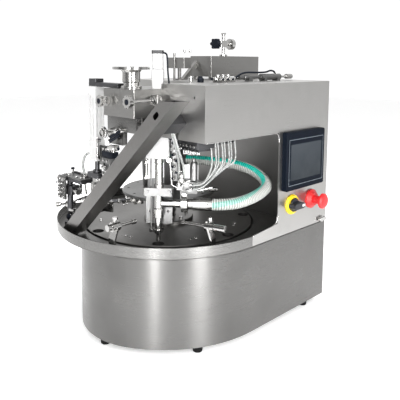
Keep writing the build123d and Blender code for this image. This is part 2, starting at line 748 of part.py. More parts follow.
# Capping station
capper_x = -35.0
capper_y = -211.0
capper_size = 28.0
capper_bottom = 424.0
capper_rod_radius = 6.0
capper_travel = 60.0
tool_height = 13.0
tool_top = capper_bottom - 31.0
spindle_radius = 6.0
chuck_radius = 18.0
slot_pitch = 12.0
slot_width = 3.5
slot_depth = 2.0
chuck_height = 38.0
with BuildPart() as capping_cylinder:
    block(at(capper_x, capper_y, capper_bottom), capper_size, capper_size, lift_top - capper_bottom, 3)
    block(at(capper_x, capper_y, capper_bottom), capper_size + 2, capper_size + 2, 52, 3)
    block(at(capper_x, capper_y, lift_top - 24), capper_size + 2, capper_size + 2, 24, 3)
    with BuildSketch(at(capper_x, capper_y, capper_bottom + 52)) as slots:
        with PolarLocations(capper_size / 2, 4):
            with GridLocations(0.1, slot_pitch, 1, 2):
                Rectangle(2 * slot_depth, slot_width)
    extrude(slots.sketch, amount=lift_top - capper_bottom - 76, mode=Mode.SUBTRACT)
    for port_height in (capper_bottom + 14, lift_top - 12):
        port_face = at(capper_x - capper_size / 2 - 1, capper_y, port_height, x_dir=(0, 1, 0), z_dir=(-1, 0, 0))
        hexagon(port_face, 11, 5)
        disc(port_face, 4.2, 10)
    disc(at(capper_x, capper_y, capper_bottom), capper_rod_radius + running_gap, capper_travel + 26, Mode.SUBTRACT)
save(capping_cylinder, "capping_cylinder")

with BuildPart() as capping_rod:
    disc(at(capper_x, capper_y, tool_top), capper_rod_radius, capper_bottom - tool_top + 20)
    disc(at(capper_x, capper_y, tool_top), 11, 6)
    block(at(capper_x, capper_y, tool_top - tool_height), 48, 32, tool_height, 3)
    disc(at(capper_x, capper_y, tool_top - tool_height), spindle_radius + running_gap, tool_height - 3, Mode.SUBTRACT)
save(capping_rod, "capping_rod")

with BuildPart() as capping_chuck:
    chuck_plane = at(capper_x, capper_y, tool_top - tool_height - gap - chuck_height)
    turned(chuck_plane, [(chuck_radius - 2, 0), (chuck_radius, 3), (chuck_radius, 22), (13, 28), (13, chuck_height)])
    disc(chuck_plane, spindle_radius, chuck_height + gap + tool_height - 4)
    disc(chuck_plane, 12, 14, Mode.SUBTRACT)
    with BuildSketch(chuck_plane) as flutes:
        with PolarLocations(chuck_radius, 16):
            Circle(1.3)
    extrude(flutes.sketch, amount=22, mode=Mode.SUBTRACT)
save(capping_chuck, "capping_chuck")

# Cap chute from the head down to the table, cut level at both ends, with an outlet to the turntable
chute_low = (-62.0, -258.0, 254.0)
chute_high = (285.0, -234.0, 594.0)
chute_width = 32.0
chute_depth = 42.0
chute_top = chute_high[2]
chute_start = Vector(*chute_low)
chute_line = Vector(*chute_high) - chute_start
chute_plane = at(*chute_low, x_dir=(chute_line.Z, 0, -chute_line.X), z_dir=tuple(chute_line.normalized()))
chute_spare = 60.0
outlet_height = 26.0
with BuildPart() as cap_chute:
    block(chute_plane.offset(-chute_spare), chute_width, chute_depth, chute_line.length + 2 * chute_spare)
    block(chute_plane.offset(-chute_spare), chute_width - 2 * sheet, chute_depth - 2 * sheet,
          chute_line.length + 2 * chute_spare, mode=Mode.SUBTRACT)
    block(at(chute_high[0], chute_high[1], chute_top), 300, 100, 200, mode=Mode.SUBTRACT)
    block(at(chute_low[0], chute_low[1], seam_z), 300, 100, -200, mode=Mode.SUBTRACT)
    block(at(chute_low[0] - 8, chute_low[1] + chute_depth / 2, seam_z), 30, chute_depth, outlet_height,
          mode=Mode.SUBTRACT)
    slot_spot = chute_plane.from_local_coords((0, -chute_depth / 2, chute_line.length * 0.905))
    slot_plane = Plane(origin=tuple(slot_spot), x_dir=chute_plane.z_dir, z_dir=chute_plane.y_dir)
    with BuildSketch(slot_plane) as slot:
        SlotOverall(20, 12)
    extrude(slot.sketch, amount=sheet, mode=Mode.SUBTRACT)
save(cap_chute, "cap_chute")

# Brackets: the bar that carries the capping cylinder, and the chute's bracket on the head's front
bracket_reach = 30.0
with BuildPart() as head_brackets:
    bracket_left = capper_x - capper_size / 2 - 1
    bracket_right = lift_left + bracket_reach
    block(at((bracket_left + bracket_right) / 2, capper_y, lift_top), bracket_right - bracket_left, 26, 10, 2)
    block(at(capper_x, capper_y, lift_top + 10), capper_size + 2, 26, 9, 3)
    chute_seat = chute_plane.from_local_coords((0, chute_depth / 2, chute_line.length * 0.84))
    block(Plane(origin=tuple(chute_seat), x_dir=chute_plane.x_dir, z_dir=chute_plane.y_dir), 26, 34, 120)
    block(at(chute_high[0] - 60, -head_front, chute_top - 60, z_dir=(0, 1, 0)), 300, 300, 200, mode=Mode.SUBTRACT)
save(head_brackets, "head_brackets")

# Guide brackets on the table with their clamps, and the rods that they hold
clamp_z = 296.0
bracket_width = 24.0
bracket_sheet = 4.0
bracket_bend = 33.0
guide_radius = 4.0
grip_radius = 8.0
guide_ends = [(262.0, -104.0, 196.0, -128.0, 28.0), (112.0, -262.0, 112.0, -206.0, 12.0)]


def guide_face(x, y, end_x, end_y, z):
    """A plane that looks along a guide rod, inwards."""
    return at(x, y, z, x_dir=(end_y - y, x - end_x, 0), z_dir=(end_x - x, end_y - y, 0))


with BuildPart() as rim_brackets:
    for x, y, end_x, end_y, grip in guide_ends:
        across = guide_face(x, y, end_x, end_y, seam_z)
        side_plane = Plane(origin=across.origin, x_dir=across.z_dir, z_dir=across.x_dir)
        tilt = clamp_z - seam_z
        with BuildSketch(side_plane) as bent:
            with BuildLine():
                Polyline((-10, 0), (14, 0), (14, bracket_sheet), (-10 + bracket_sheet, bracket_sheet),
                         (-10 + bracket_sheet, bracket_bend), (4, tilt), (-1, tilt), (-10, bracket_bend), close=True)
            make_face()
        extrude(bent.sketch, amount=bracket_width / 2, both=True)
        clamp_face = guide_face(x, y, end_x, end_y, clamp_z)
        disc(clamp_face.offset(-10), 11, 20)
        block(at(x, y, clamp_z), 8, 8, 17, 1)
        hexagon(at(x, y, clamp_z + 17), 11, 5)
        disc(clamp_face.offset(-10), guide_radius + running_gap, 20, Mode.SUBTRACT)
save(rim_brackets, "rim_brackets")

with BuildPart() as guide_rods:
    for x, y, end_x, end_y, grip in guide_ends:
        reach = hypot(end_x - x, end_y - y)
        rod_face = guide_face(x, y, end_x, end_y, clamp_z)
        disc(rod_face.offset(-12), guide_radius, reach + 12)
        disc(rod_face.offset(-10 - gap), grip_radius, -grip)
        disc(rod_face.offset(reach - 6), 6, 8)
save(guide_rods, "guide_rods")

# Cap track beside the capping station, on its post, with the pusher
track_z = 356.0
track_post = (-152.0, -222.0)
pusher_z = 330.0
pusher_radius = 5.0
with BuildPart() as cap_track:
    disc(at(*track_post, seam_z), 16, 6)
    disc(at(*track_post, seam_z), 8, track_z - seam_z)
    block(at(-122, -214, track_z), 94, 44, 8, 3)
    block(at(-122, -196, track_z + 8), 94, 6, 8)
    block(at(track_post[0] + 4, track_post[1], pusher_z - 12), 44, 26, 24, 3)
    disc(at(-192, track_post[1] - 4, pusher_z, x_dir=(0, 1, 0), z_dir=(1, 0, 0)),
         pusher_radius + running_gap, 90, Mode.SUBTRACT)
save(cap_track, "cap_track")

with BuildPart() as cap_pusher:
    pusher_plane = at(-200, track_post[1] - 4, pusher_z, x_dir=(0, 1, 0), z_dir=(1, 0, 0))
    disc(pusher_plane, pusher_radius, 96)
    disc(pusher_plane, 8, 14)
    disc(pusher_plane.offset(90), 8, 8)
save(cap_pusher, "cap_pusher")

# Bottle stop on the centre plate
stop_z = 348.0
stop_radius = 105.0
stop_body = 7.0
stop_rod_radius = 3.0
with BuildPart() as stop_cylinder:
    block(station(0, plate_top, radius=stop_radius, side=52), 18, 24, stop_z - plate_top + 12, 2)
    disc(station(0, stop_z, radius=stop_radius, side=61, z_dir="side"), stop_body, 36)
    hexagon(station(0, stop_z, radius=stop_radius, side=97, z_dir="side"), 16, 7)
    disc(station(0, stop_z, radius=stop_radius, side=66, z_dir="side"), stop_rod_radius + running_gap, 40,
         Mode.SUBTRACT)
save(stop_cylinder, "stop_cylinder")

with BuildPart() as stop_rod:
    disc(station(0, stop_z, radius=stop_radius, side=84, z_dir="side"), stop_rod_radius, 50)
    disc(station(0, stop_z, radius=stop_radius, side=116, z_dir="side"), stop_body - 1, 24)
save(stop_rod, "stop_rod")

# On top of the housing: a box on four feet, the regulator on it and the air cylinder
box_foot = 8.0
box_x, box_y = 17.5, 208.0
box_size = (85.0, 208.0, 58.0)
box_front = box_y - box_size[1] / 2
valve_x, valve_y = 21.0, 20.0
valve_z = top_z + 32.0
valve_size = (66.0, 28.0, 29.0)
slant_x, slant_y = 0.0, 46.0
with BuildPart() as top_box:
    block(at(box_x, box_y, top_z + box_foot), *box_size)
    fillet(top_box.edges().filter_by(Axis.Z), 2)
    with BuildSketch(at(box_x, box_y, top_z)) as feet:
        with GridLocations(box_size[0] - 24, box_size[1] - 30, 2, 2):
            Circle(9)
    extrude(feet.sketch, amount=box_foot)
    block(at(valve_x, valve_y, valve_z), *valve_size, 2)
    disc(at(valve_x, valve_y, top_z), 5, valve_z - top_z)
    disc(at(valve_x, valve_y, top_z), 11, 3)
    disc(at(valve_x - 3, valve_y - valve_size[1] / 2 - 2, top_z), 3, valve_z + valve_size[2] + 12 - top_z)
    with BuildSketch(at(slant_x, 0, 0, x_dir=(0, 1, 0), z_dir=(1, 0, 0))) as slant:
        with BuildLine():
            Polyline((slant_y, top_z), (slant_y + 18, top_z), (box_front, top_z + 36), (box_front, top_z + 54),
                     close=True)
        make_face()
    extrude(slant.sketch, amount=6, both=True)
save(top_box, "top_box")

box_top = top_z + box_foot + box_size[2]
stem_x, stem_y = 20.0, 196.0
regulator_z = box_top + 36.0
knob_gap = 30.0
with BuildPart() as regulator:
    disc(at(stem_x, stem_y, box_top), 12, 5)
    disc(at(stem_x, stem_y, box_top), 5, 64)
    disc(at(stem_x - 8, stem_y, box_top + 66, x_dir=(0, 1, 0), z_dir=(1, 0, 0)), 2.5, 16)
    block(at(stem_x, stem_y - 4, regulator_z - 9), 18, 32, 18, 3)
    disc(at(stem_x, stem_y + 12, regulator_z, z_dir=(0, 1, 0)), 5, 12)
    turned(at(stem_x, stem_y + 24, regulator_z, z_dir=(0, 1, 0)), [(14, 0), (16, 1), (16, 13), (14, 14)])
save(regulator, "regulator")

with BuildPart() as regulator_knob:
    knob_plane = at(stem_x, stem_y - 20 - gap, regulator_z, z_dir=(0, -1, 0))
    disc(knob_plane, 8, 14)
    with BuildSketch(knob_plane.offset(6)) as star:
        Circle(12)
        with PolarLocations(12, 6):
            Circle(4)
    extrude(star.sketch, amount=14)
save(regulator_knob, "regulator_knob")

air_cylinder_x = 200.0
air_cylinder_z = top_z + 10.5
air_body = 8.5
air_start = 60.0
air_end = 229.0
air_rod = 3.0
with BuildPart() as top_cylinder:
    tail = at(air_cylinder_x, air_start, air_cylinder_z, z_dir=(0, 1, 0))
    turned(tail, [(5, 0), (5, 20), (6.5, 21), (6.5, 34), (4, 35), (4, 86), (air_body, 87),
                  (air_body, air_end - air_start)])
    block(at(air_cylinder_x, 100, top_z), 16, 14, 10)
    block(at(air_cylinder_x, 160, top_z), 18, 12, 10)
    block(at(air_cylinder_x, 216, top_z), 18, 12, 10)
    disc(tail.offset(104), air_rod + running_gap, 80, Mode.SUBTRACT)
save(top_cylinder, "top_cylinder")

with BuildPart() as top_cylinder_rod:
    rod_plane = at(air_cylinder_x, 190, air_cylinder_z, z_dir=(0, 1, 0))
    disc(rod_plane, air_rod, 100)
    with BuildSketch(rod_plane.offset(70)) as knurl:
        Circle(7)
        with PolarLocations(7, 16):
            Circle(0.8, mode=Mode.SUBTRACT)
    extrude(knurl.sketch, amount=24)
save(top_cylinder_rod, "top_cylinder_rod")

# Controls on the side panel
panel_y, panel_z = 194.5, 425.0
panel_width, panel_height = 169.0, 150.0
screen_width, screen_height = 135.0, 92.0
screen_z = 422.0
screen_thickness = 1.5
with BuildPart() as control_panel:
    face = at(table_radius, panel_y, panel_z, x_dir=(0, 1, 0), z_dir=(1, 0, 0))
    block(face, panel_width, panel_height, panel_depth, 5)
    chamfer(control_panel.faces().sort_by(Axis.X)[-1].edges(), 2)
    block(at(table_radius + panel_depth, panel_y, screen_z, x_dir=(0, 1, 0), z_dir=(1, 0, 0)),
          screen_width, screen_height, -screen_thickness, 1, Mode.SUBTRACT)
save(control_panel, "control_panel")

with BuildPart() as panel_screen:
    block(at(table_radius + panel_depth, panel_y, screen_z, x_dir=(0, 1, 0), z_dir=(1, 0, 0)),
          screen_width, screen_height, -screen_thickness, 1)
save(panel_screen, "panel_screen")

selector_y, stop_y = 155.0, 241.5
control_z = 309.0
selector_plane = at(table_radius, selector_y, control_z, x_dir=(0, 1, 0), z_dir=(1, 0, 0))
stop_plane = at(table_radius, stop_y, control_z, x_dir=(0, 1, 0), z_dir=(1, 0, 0))
ring_height = 7.0
stop_base_height = 14.0
stop_stem = 11.0
stop_travel = 5.0
with BuildPart() as control_rings:
    turned(selector_plane, [(26, 0), (26, 3), (23, ring_height)])
    turned(stop_plane, [(25.5, 0), (25.5, 5), (20, 9), (17, stop_base_height)])
    disc(stop_plane, stop_stem + 0.1, stop_base_height, Mode.SUBTRACT)
save(control_rings, "control_rings")

with BuildPart() as selector_knob:
    turned(selector_plane.offset(ring_height + gap), [(18, 0), (18, 3), (16, 6)])
    with BuildSketch(selector_plane.offset(ring_height + gap)) as handle:
        SlotOverall(44, 15)
    extrude(handle.sketch, amount=20)
save(selector_knob, "selector_knob")

mushroom_height = 15.0
with BuildPart() as stop_button:
    disc(stop_plane.offset(stop_travel + 1), stop_stem, control_reach - stop_travel - 6)
    turned(stop_plane.offset(control_reach - mushroom_height), [(12, 0), (20, 5), (20, 10), (15, 14), (8, 15)])
save(stop_button, "stop_button")
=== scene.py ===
import math

import bmesh
import bpy
from mathutils import Matrix, Vector


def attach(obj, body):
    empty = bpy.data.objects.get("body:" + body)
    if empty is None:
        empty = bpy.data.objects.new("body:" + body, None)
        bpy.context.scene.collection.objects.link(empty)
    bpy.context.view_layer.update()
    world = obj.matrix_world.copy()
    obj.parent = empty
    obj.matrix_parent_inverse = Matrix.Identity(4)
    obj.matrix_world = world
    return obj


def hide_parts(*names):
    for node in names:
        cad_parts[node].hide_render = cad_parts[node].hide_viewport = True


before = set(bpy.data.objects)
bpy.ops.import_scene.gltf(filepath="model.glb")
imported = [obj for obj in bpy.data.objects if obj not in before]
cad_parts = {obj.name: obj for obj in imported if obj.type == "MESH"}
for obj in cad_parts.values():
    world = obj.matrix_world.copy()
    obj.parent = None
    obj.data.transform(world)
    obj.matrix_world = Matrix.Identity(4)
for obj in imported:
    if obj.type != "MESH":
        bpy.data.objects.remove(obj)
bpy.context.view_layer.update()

# Shaders and meshes are in metres. Places below are in mm: in plan from the turntable axis, and up from
# the floor.
AXIS_X = -0.023
AXIS_Y = -0.01625
FIRST_STATION = math.radians(-48.0)
POCKET_CIRCLE = 214.0
UP = (0, 0, 1)
DOWN = (0, 0, -1)
FORWARD = (0, -1, 0)


def at_x(across):
    """A plan place in mm as an X of the part's frame in metres."""
    return AXIS_X + across / 1000


def at_y(deep):
    """A plan place in mm as a Y of the part's frame in metres."""
    return AXIS_Y + deep / 1000


def place(x, y, z):
    """A point of the part's frame, in metres, from a place in mm."""
    return Vector((at_x(x), at_y(y), z / 1000))


def reach(name, axis):
    """The lowest and highest place of a fixed CAD node along an axis, in mm."""
    thing = bpy.data.objects[name]
    places = [(thing.matrix_world @ Vector(corner))["XYZ".index(axis)] for corner in thing.bound_box]
    start = {"X": AXIS_X, "Y": AXIS_Y, "Z": 0.0}[axis]
    return (min(places) - start) * 1000, (max(places) - start) * 1000


HOUSING_LEFT, HOUSING_FACE = reach("upper_housing", "X")
HOUSING_TOP = reach("upper_housing", "Z")[1]
PANEL_FACE = reach("control_panel", "X")[1]
TOP_ROW_X = sum(reach("top_cylinder", "X")) / 2
HEAD_BOTTOM = 500.0
WINDOW_SILL = 269.0


def beside_valve(side, z):
    """A point on the filling valve's side port, in the part's frame."""
    x = POCKET_CIRCLE * math.cos(FIRST_STATION) - side * math.sin(FIRST_STATION)
    y = POCKET_CIRCLE * math.sin(FIRST_STATION) + side * math.cos(FIRST_STATION)
    return place(x, y, z)


# Camera: the photograph's viewpoint, fitted to the machine's straight edges
IMAGE_SIZE = 400
FOCAL_PIXELS = 521.1
PRINCIPAL_POINT = (193.2, 116.7)
CAMERA_PLACE = (1075.9, -942.1, 675.8)
CAMERA_TURN = math.radians(46.1)
CAMERA_TILT = math.radians(6.1)
CAMERA_ROLL = math.radians(0.32)
SENSOR_WIDTH = 36
FAR_LIMIT = 50


def add_camera():
    """The camera, shifted so that the photograph's principal point is its own."""
    data = bpy.data.cameras.new("camera")
    data.sensor_width = SENSOR_WIDTH
    data.lens = FOCAL_PIXELS / IMAGE_SIZE * SENSOR_WIDTH
    data.shift_x = (IMAGE_SIZE / 2 - PRINCIPAL_POINT[0]) / IMAGE_SIZE
    data.shift_y = -(IMAGE_SIZE / 2 - PRINCIPAL_POINT[1]) / IMAGE_SIZE
    data.clip_end = FAR_LIMIT
    camera = bpy.data.objects.new("camera", data)
    bpy.context.scene.collection.objects.link(camera)
    camera.location = place(*CAMERA_PLACE)
    turn = Matrix.Rotation(CAMERA_TURN, 4, "Z")
    tilt = Matrix.Rotation(math.pi / 2 - CAMERA_TILT, 4, "X")
    roll = Matrix.Rotation(CAMERA_ROLL, 4, "Z")
    camera.rotation_euler = (turn @ tilt @ roll).to_euler()
    bpy.context.scene.camera = camera


# Nodes shared by the materials
class Shader:
    """A material with its Principled shader, and short calls for the nodes that feed it."""

    def __init__(self, name):
        self.material = bpy.data.materials.new(name)
        self.material.use_nodes = True
        self.tree = self.material.node_tree
        self.shader = self.tree.nodes["Principled BSDF"]
        self.space = self.tree.nodes.new("ShaderNodeTexCoord").outputs["Object"]

    def node(self, kind, **values):
        """A new node with its settings."""
        made = self.tree.nodes.new(kind)
        for key, value in values.items():
            setattr(made, key, value)
        return made

    def link(self, source, target):
        self.tree.links.new(source, target)

    def stretched(self, scale):
        """Object coordinates, in metres, multiplied by a scale on each axis."""
        mapping = self.node("ShaderNodeMapping")
        mapping.inputs["Scale"].default_value = scale
        self.link(self.space, mapping.inputs["Vector"])
        return mapping.outputs["Vector"]

    def noise(self, scale, detail=4.0, roughness=0.55):
        """Noise with its own number of cycles per metre on each axis."""
        texture = self.node("ShaderNodeTexNoise")
        texture.inputs["Scale"].default_value = 1.0
        texture.inputs["Detail"].default_value = detail
        texture.inputs["Roughness"].default_value = roughness
        self.link(self.stretched(scale), texture.inputs["Vector"])
        return texture.outputs["Fac"]

    def ranged(self, source, low, high, start=0.3, end=0.7):
        """A value carried from start..end to low..high."""
        part = self.node("ShaderNodeMapRange")
        part.inputs["From Min"].default_value = start
        part.inputs["From Max"].default_value = end
        part.inputs["To Min"].default_value = low
        part.inputs["To Max"].default_value = high
        self.link(source, part.inputs["Value"])
        return part.outputs["Result"]

    def mixed(self, factor, first, second):
        """A colour between two colours, each a tuple or a node's output."""
        mix = self.node("ShaderNodeMix", data_type="RGBA")
        self.link(factor, mix.inputs["Factor"])
        for socket, value in ((mix.inputs["A"], first), (mix.inputs["B"], second)):
            if isinstance(value, tuple):
                socket.default_value = (*value, 1.0)
            else:
                self.link(value, socket)
        return mix.outputs["Result"]

    def bump(self, height, distance, strength=1.0):
        """Relief of a depth in metres from a height between 0 and 1."""
        part = self.node("ShaderNodeBump")
        part.inputs["Distance"].default_value = distance
        part.inputs["Strength"].default_value = strength
        self.link(height, part.inputs["Height"])
        self.link(part.outputs["Normal"], self.shader.inputs["Normal"])

    def along(self, axis):
        """One coordinate of the part's frame, in metres."""
        split = self.node("ShaderNodeSeparateXYZ")
        self.link(self.space, split.inputs["Vector"])
        return split.outputs[axis]

    def step(self, axis, edge, width=0.0004):
        """0 below a height or place along an axis, and 1 above it."""
        return self.ranged(self.along(axis), 0.0, 1.0, edge - width, edge + width)

    def math(self, operation, first, second):
        """One sum on two values, each a number or a node's output."""
        part = self.node("ShaderNodeMath", operation=operation)
        for socket, value in zip(part.inputs, (first, second)):
            if isinstance(value, (int, float)):
                socket.default_value = value
            else:
                self.link(value, socket)
        return part.outputs["Value"]

    def band(self, axis, low, high):
        """1 between two places along an axis, and 0 outside them."""
        below_high = self.math("SUBTRACT", 1.0, self.step(axis, high))
        return self.math("MULTIPLY", self.step(axis, low), below_high)

    def set(self, **values):
        """Values on the shader's own sockets."""
        for key, value in values.items():
            socket = self.shader.inputs[key.replace("_", " ")]
            if isinstance(value, tuple):
                value = (*value, 1.0)
            socket.default_value = value


WHITE_METAL = (0.2, 0.2, 0.198)
PALE = (0.56, 0.56, 0.555)
SATIN_STEEL = (0.172, 0.17, 0.166)
POLISHED_STEEL = (0.4, 0.396, 0.386)
BRIGHT_STEEL = (0.5, 0.495, 0.485)
BLACK = (0.012, 0.012, 0.014)
# Share of the colour kept on faces darkened by painted shade under the head
PAINTED_SHADE_SHARE = 0.5
GRAIN_DEPTH = 0.00002
UPRIGHT_GRAIN = (14, 14, 1100)
FINE_GRAIN = (300, 300, 300)


def brushed_metal(name, colour, roughness, grain, mottle=0.06, stretch=0.0, inside=None):
    """Sheet or bar stock with a brushed grain, faint smudges and slightly uneven tone.

    stretch draws its highlights out vertically, and inside gives a mask of faces that take a darker tone as
    painted shade.
    """
    m = Shader(name)
    lines = m.noise(grain, 3.0, 0.6)
    smudge = m.noise((9, 9, 9), 5.0, 0.6)
    dark = tuple(c * (1 - mottle) for c in colour)
    tone = m.mixed(m.ranged(lines, 0.0, 1.0), dark, colour)
    worn = tuple(c * (1 - 2 * mottle) for c in colour)
    tone = m.mixed(m.ranged(smudge, 0.0, 0.7, 0.5, 0.75), tone, worn)
    # Painted shade: faces under the head take a darker copy of the colour.
    if inside is not None:
        tone = m.mixed(inside(m), tone, tuple(c * PAINTED_SHADE_SHARE for c in colour))
    m.link(tone, m.shader.inputs["Base Color"])
    smudged = m.ranged(smudge, roughness - 0.04, roughness + 0.06)
    shine = m.math("ADD", m.ranged(lines, -0.05, 0.05), smudged)
    m.link(shine, m.shader.inputs["Roughness"])
    m.bump(lines, GRAIN_DEPTH, 0.5)
    m.set(Metallic=1.0)
    if stretch:
        m.set(Anisotropic=stretch, Anisotropic_Rotation=0.25)
    return m


def plain_plastic(name, colour, roughness, pebble=2600.0, height=0.00003, gloss=0.5):
    """Moulded plastic with a fine pebble and slight wear."""
    m = Shader(name)
    fine = m.noise((pebble, pebble, pebble), 2.0)
    wear = m.noise((60, 60, 60), 5.0, 0.65)
    light = tuple(min(1.0, c * 1.25 + 0.01) for c in colour)
    m.link(m.mixed(m.ranged(wear, 0.0, 0.6, 0.45, 0.75), colour, light), m.shader.inputs["Base Color"])
    m.link(m.ranged(wear, roughness - 0.05, roughness + 0.12), m.shader.inputs["Roughness"])
    m.bump(fine, height, 0.4)
    m.set(Specular_IOR_Level=gloss)
    return m


def banded_plastic(name, axis, bands, colour, band_colour, roughness, band_roughness):
    """A smooth painted or moulded piece whose stated bands along an axis have a second colour."""
    m = Shader(name)
    mask = None
    for low, high in bands:
        part = m.band(axis, low, high)
        mask = part if mask is None else m.math("MAXIMUM", mask, part)
    fine = m.noise((500, 500, 500), 3.0)
    wear = m.noise((80, 80, 80), 5.0, 0.65)
    first = m.mixed(m.ranged(wear, 0.0, 0.8), colour, tuple(c * 0.9 for c in colour))
    second = m.mixed(m.ranged(wear, 0.0, 0.8), band_colour, tuple(c * 1.2 + 0.01 for c in band_colour))
    m.link(m.mixed(mask, first, second), m.shader.inputs["Base Color"])
    shine = m.math("ADD", m.ranged(mask, roughness, band_roughness, 0, 1), m.ranged(fine, -0.04, 0.06))
    m.link(shine, m.shader.inputs["Roughness"])
    m.bump(fine, GRAIN_DEPTH / 2, 0.5)
    return m


def shade_under_head(m):
    """1 on the housing's faces under the head, which painted shade darkens, and 0 on its outer faces."""
    across = m.band("X", at_x(HOUSING_LEFT + 1), at_x(HOUSING_FACE - 2))
    below_head = m.math("SUBTRACT", 1.0, m.step("Z", (HEAD_BOTTOM - 0.5) / 1000))
    return m.math("MULTIPLY", across, below_head)


materials = {
    "sheet_upright": brushed_metal("sheet_upright", SATIN_STEEL, 0.3, UPRIGHT_GRAIN, stretch=0.85),
    # The housing's faces under the head carry painted shade.
    "housing_sheet": brushed_metal("housing_sheet", (0.44, 0.434, 0.424), 0.34, UPRIGHT_GRAIN,
                                   inside=shade_under_head),
    "chute_sheet": brushed_metal("chute_sheet", (0.25, 0.245, 0.238), 0.34, FINE_GRAIN, 0.12),
    "rim_sheet": brushed_metal("rim_sheet", (0.21, 0.208, 0.203), 0.26, (14, 14, 900), stretch=0.6),
    "sheet_flat": brushed_metal("sheet_flat", (0.17, 0.167, 0.162), 0.36, (14, 900, 900)),
    "turntable_plate": brushed_metal("turntable_plate", (0.2, 0.195, 0.188), 0.34, (16, 700, 700), 0.1),
    "turned_steel": brushed_metal("turned_steel", POLISHED_STEEL, 0.2, (60, 60, 1500)),
    "bright_steel": brushed_metal("bright_steel", BRIGHT_STEEL, 0.14, FINE_GRAIN, 0.04),
    "white_metal": brushed_metal("white_metal", WHITE_METAL, 0.36, (400, 400, 60), 0.08),
    "pale_anodised": plain_plastic("pale_anodised", PALE, 0.42, 1500.0, 0.00001),
    "body_sheet": brushed_metal("body_sheet", (0.28, 0.276, 0.268), 0.34, UPRIGHT_GRAIN, 0.08),
    "dark_metal": brushed_metal("dark_metal", (0.1, 0.1, 0.105), 0.42, FINE_GRAIN, 0.12),
    "cast_metal": brushed_metal("cast_metal", (0.2, 0.2, 0.21), 0.6, (240, 240, 240), 0.15),
    "brass": brushed_metal("brass", (0.68, 0.5, 0.25), 0.3, FINE_GRAIN),
    "grey_paint": plain_plastic("grey_paint", (0.12, 0.15, 0.19), 0.4, 900.0),
    "black_plastic": plain_plastic("black_plastic", (0.005, 0.007, 0.012), 0.4, gloss=0.12),
    "red_plastic": plain_plastic("red_plastic", (0.55, 0.012, 0.015), 0.3),
    "rubber": plain_plastic("rubber", (0.006, 0.006, 0.006), 0.75, 1800.0, 0.00006, 0.12),
}

# The CAD nodes that take each material
finishes = {
    "sheet_upright": ["base_cabinet", "rear_cover"],
    "body_sheet": ["lift_head", "top_box"],
    "housing_sheet": ["upper_housing"],
    "chute_sheet": ["cap_chute"],
    "rim_sheet": ["table_rim"],
    "sheet_flat": ["base_floor", "table_deck", "pan_plate"],
    "turntable_plate": ["turntable", "clamp_hub"],
    "turned_steel": ["drive_shaft", "centre_post", "capping_chuck", "product_inlet", "dosing_cylinder",
                     "filling_valve", "hose_fitting"],
    "bright_steel": ["cabinet_bolts", "latch_handle", "turntable_screws", "main_bearing", "nozzle_tube",
                     "rim_brackets", "guide_rods", "cap_pusher", "flow_knob", "stroke_knob", "stop_rod",
                     "regulator", "top_cylinder_rod"],
    "white_metal": ["input_pulley", "motor_pulley", "filling_mount", "station_plate", "product_manifold",
                    "lift_rod", "top_cylinder", "centre_plate"],
    "pale_anodised": ["capping_cylinder", "stop_cylinder", "lift_cylinder"],
    "dark_metal": ["head_brackets", "capping_rod", "cap_track"],
    "cast_metal": ["bearing_housing", "index_gearbox"],
    "brass": ["air_inlet"],
    "grey_paint": ["drive_motor"],
    "black_plastic": ["cord_gland", "regulator_knob"],
    "red_plastic": ["stop_button"],
    "rubber": ["rubber_feet", "drive_belt"],
}


def dress(name, shader):
    """Gives a CAD node its material."""
    mesh = bpy.data.objects[name].data
    if not mesh.materials:
        mesh.materials.append(shader.material)
    for index in range(len(mesh.materials)):
        mesh.materials[index] = shader.material


for finish, names in finishes.items():
    for name in names:
        dress(name, materials[finish])

def lift_cylinder_finish():
    """White cylinder with a black cap and a thin black ring."""
    cap, ring = (0.692, 0.701), (0.656, 0.658)
    return banded_plastic("lift_cylinder_finish", "Z", [cap, ring], PALE, BLACK, 0.4, 0.45)


dress("lift_cylinder", lift_cylinder_finish())


BETWEEN_CONTROLS = 200


def control_ring_finish():
    """The rings behind the two controls: yellow round the selector and red under the stop button."""
    m = Shader("control_ring_finish")
    wear = m.noise((70, 70, 70), 5.0)
    side = m.step("Y", at_y(BETWEEN_CONTROLS))
    yellow = m.mixed(m.ranged(wear, 0.0, 1.0), (0.78, 0.56, 0.01), (0.66, 0.45, 0.01))
    red = m.mixed(m.ranged(wear, 0.0, 1.0), (0.5, 0.012, 0.012), (0.42, 0.012, 0.014))
    m.link(m.mixed(side, yellow, red), m.shader.inputs["Base Color"])
    m.link(m.ranged(wear, 0.28, 0.4), m.shader.inputs["Roughness"])
    return m


dress("control_rings", control_ring_finish())


LINE_WIDTH = 1.4
PRINTED_FRAME_Y = (119, 271)
PRINTED_FRAME_Z = (363, 481)


def framed(m, inset):
    """1 inside the panel's printed frame, drawn in by an inset."""
    across = m.band("Y", at_y(PRINTED_FRAME_Y[0] + inset), at_y(PRINTED_FRAME_Y[1] - inset))
    upward = m.band("Z", (PRINTED_FRAME_Z[0] + inset) / 1000, (PRINTED_FRAME_Z[1] - inset) / 1000)
    return m.math("MULTIPLY", across, upward)


def panel_finish():
    """Navy black bezel with a thin pale line round the screen."""
    m = Shader("panel_finish")
    wear = m.noise((60, 60, 60), 5.0, 0.65)
    line = m.math("SUBTRACT", framed(m, 0), framed(m, LINE_WIDTH))
    base = m.mixed(m.ranged(wear, 0.0, 1.0, 0.4, 0.8), (0.002, 0.004, 0.008), (0.004, 0.006, 0.012))
    front = m.step("X", at_x(PANEL_FACE - 0.5))
    printed = m.mixed(m.math("MULTIPLY", line, front), base, (0.13, 0.15, 0.17))
    m.link(printed, m.shader.inputs["Base Color"])
    m.link(m.ranged(wear, 0.45, 0.55), m.shader.inputs["Roughness"])
    m.set(Specular_IOR_Level=0.06)
    return m


dress("control_panel", panel_finish())


POINTER_Y = (165, 178)
POINTER_Z = (0.306, 0.312)
POINTER_FLOOR = 315.5


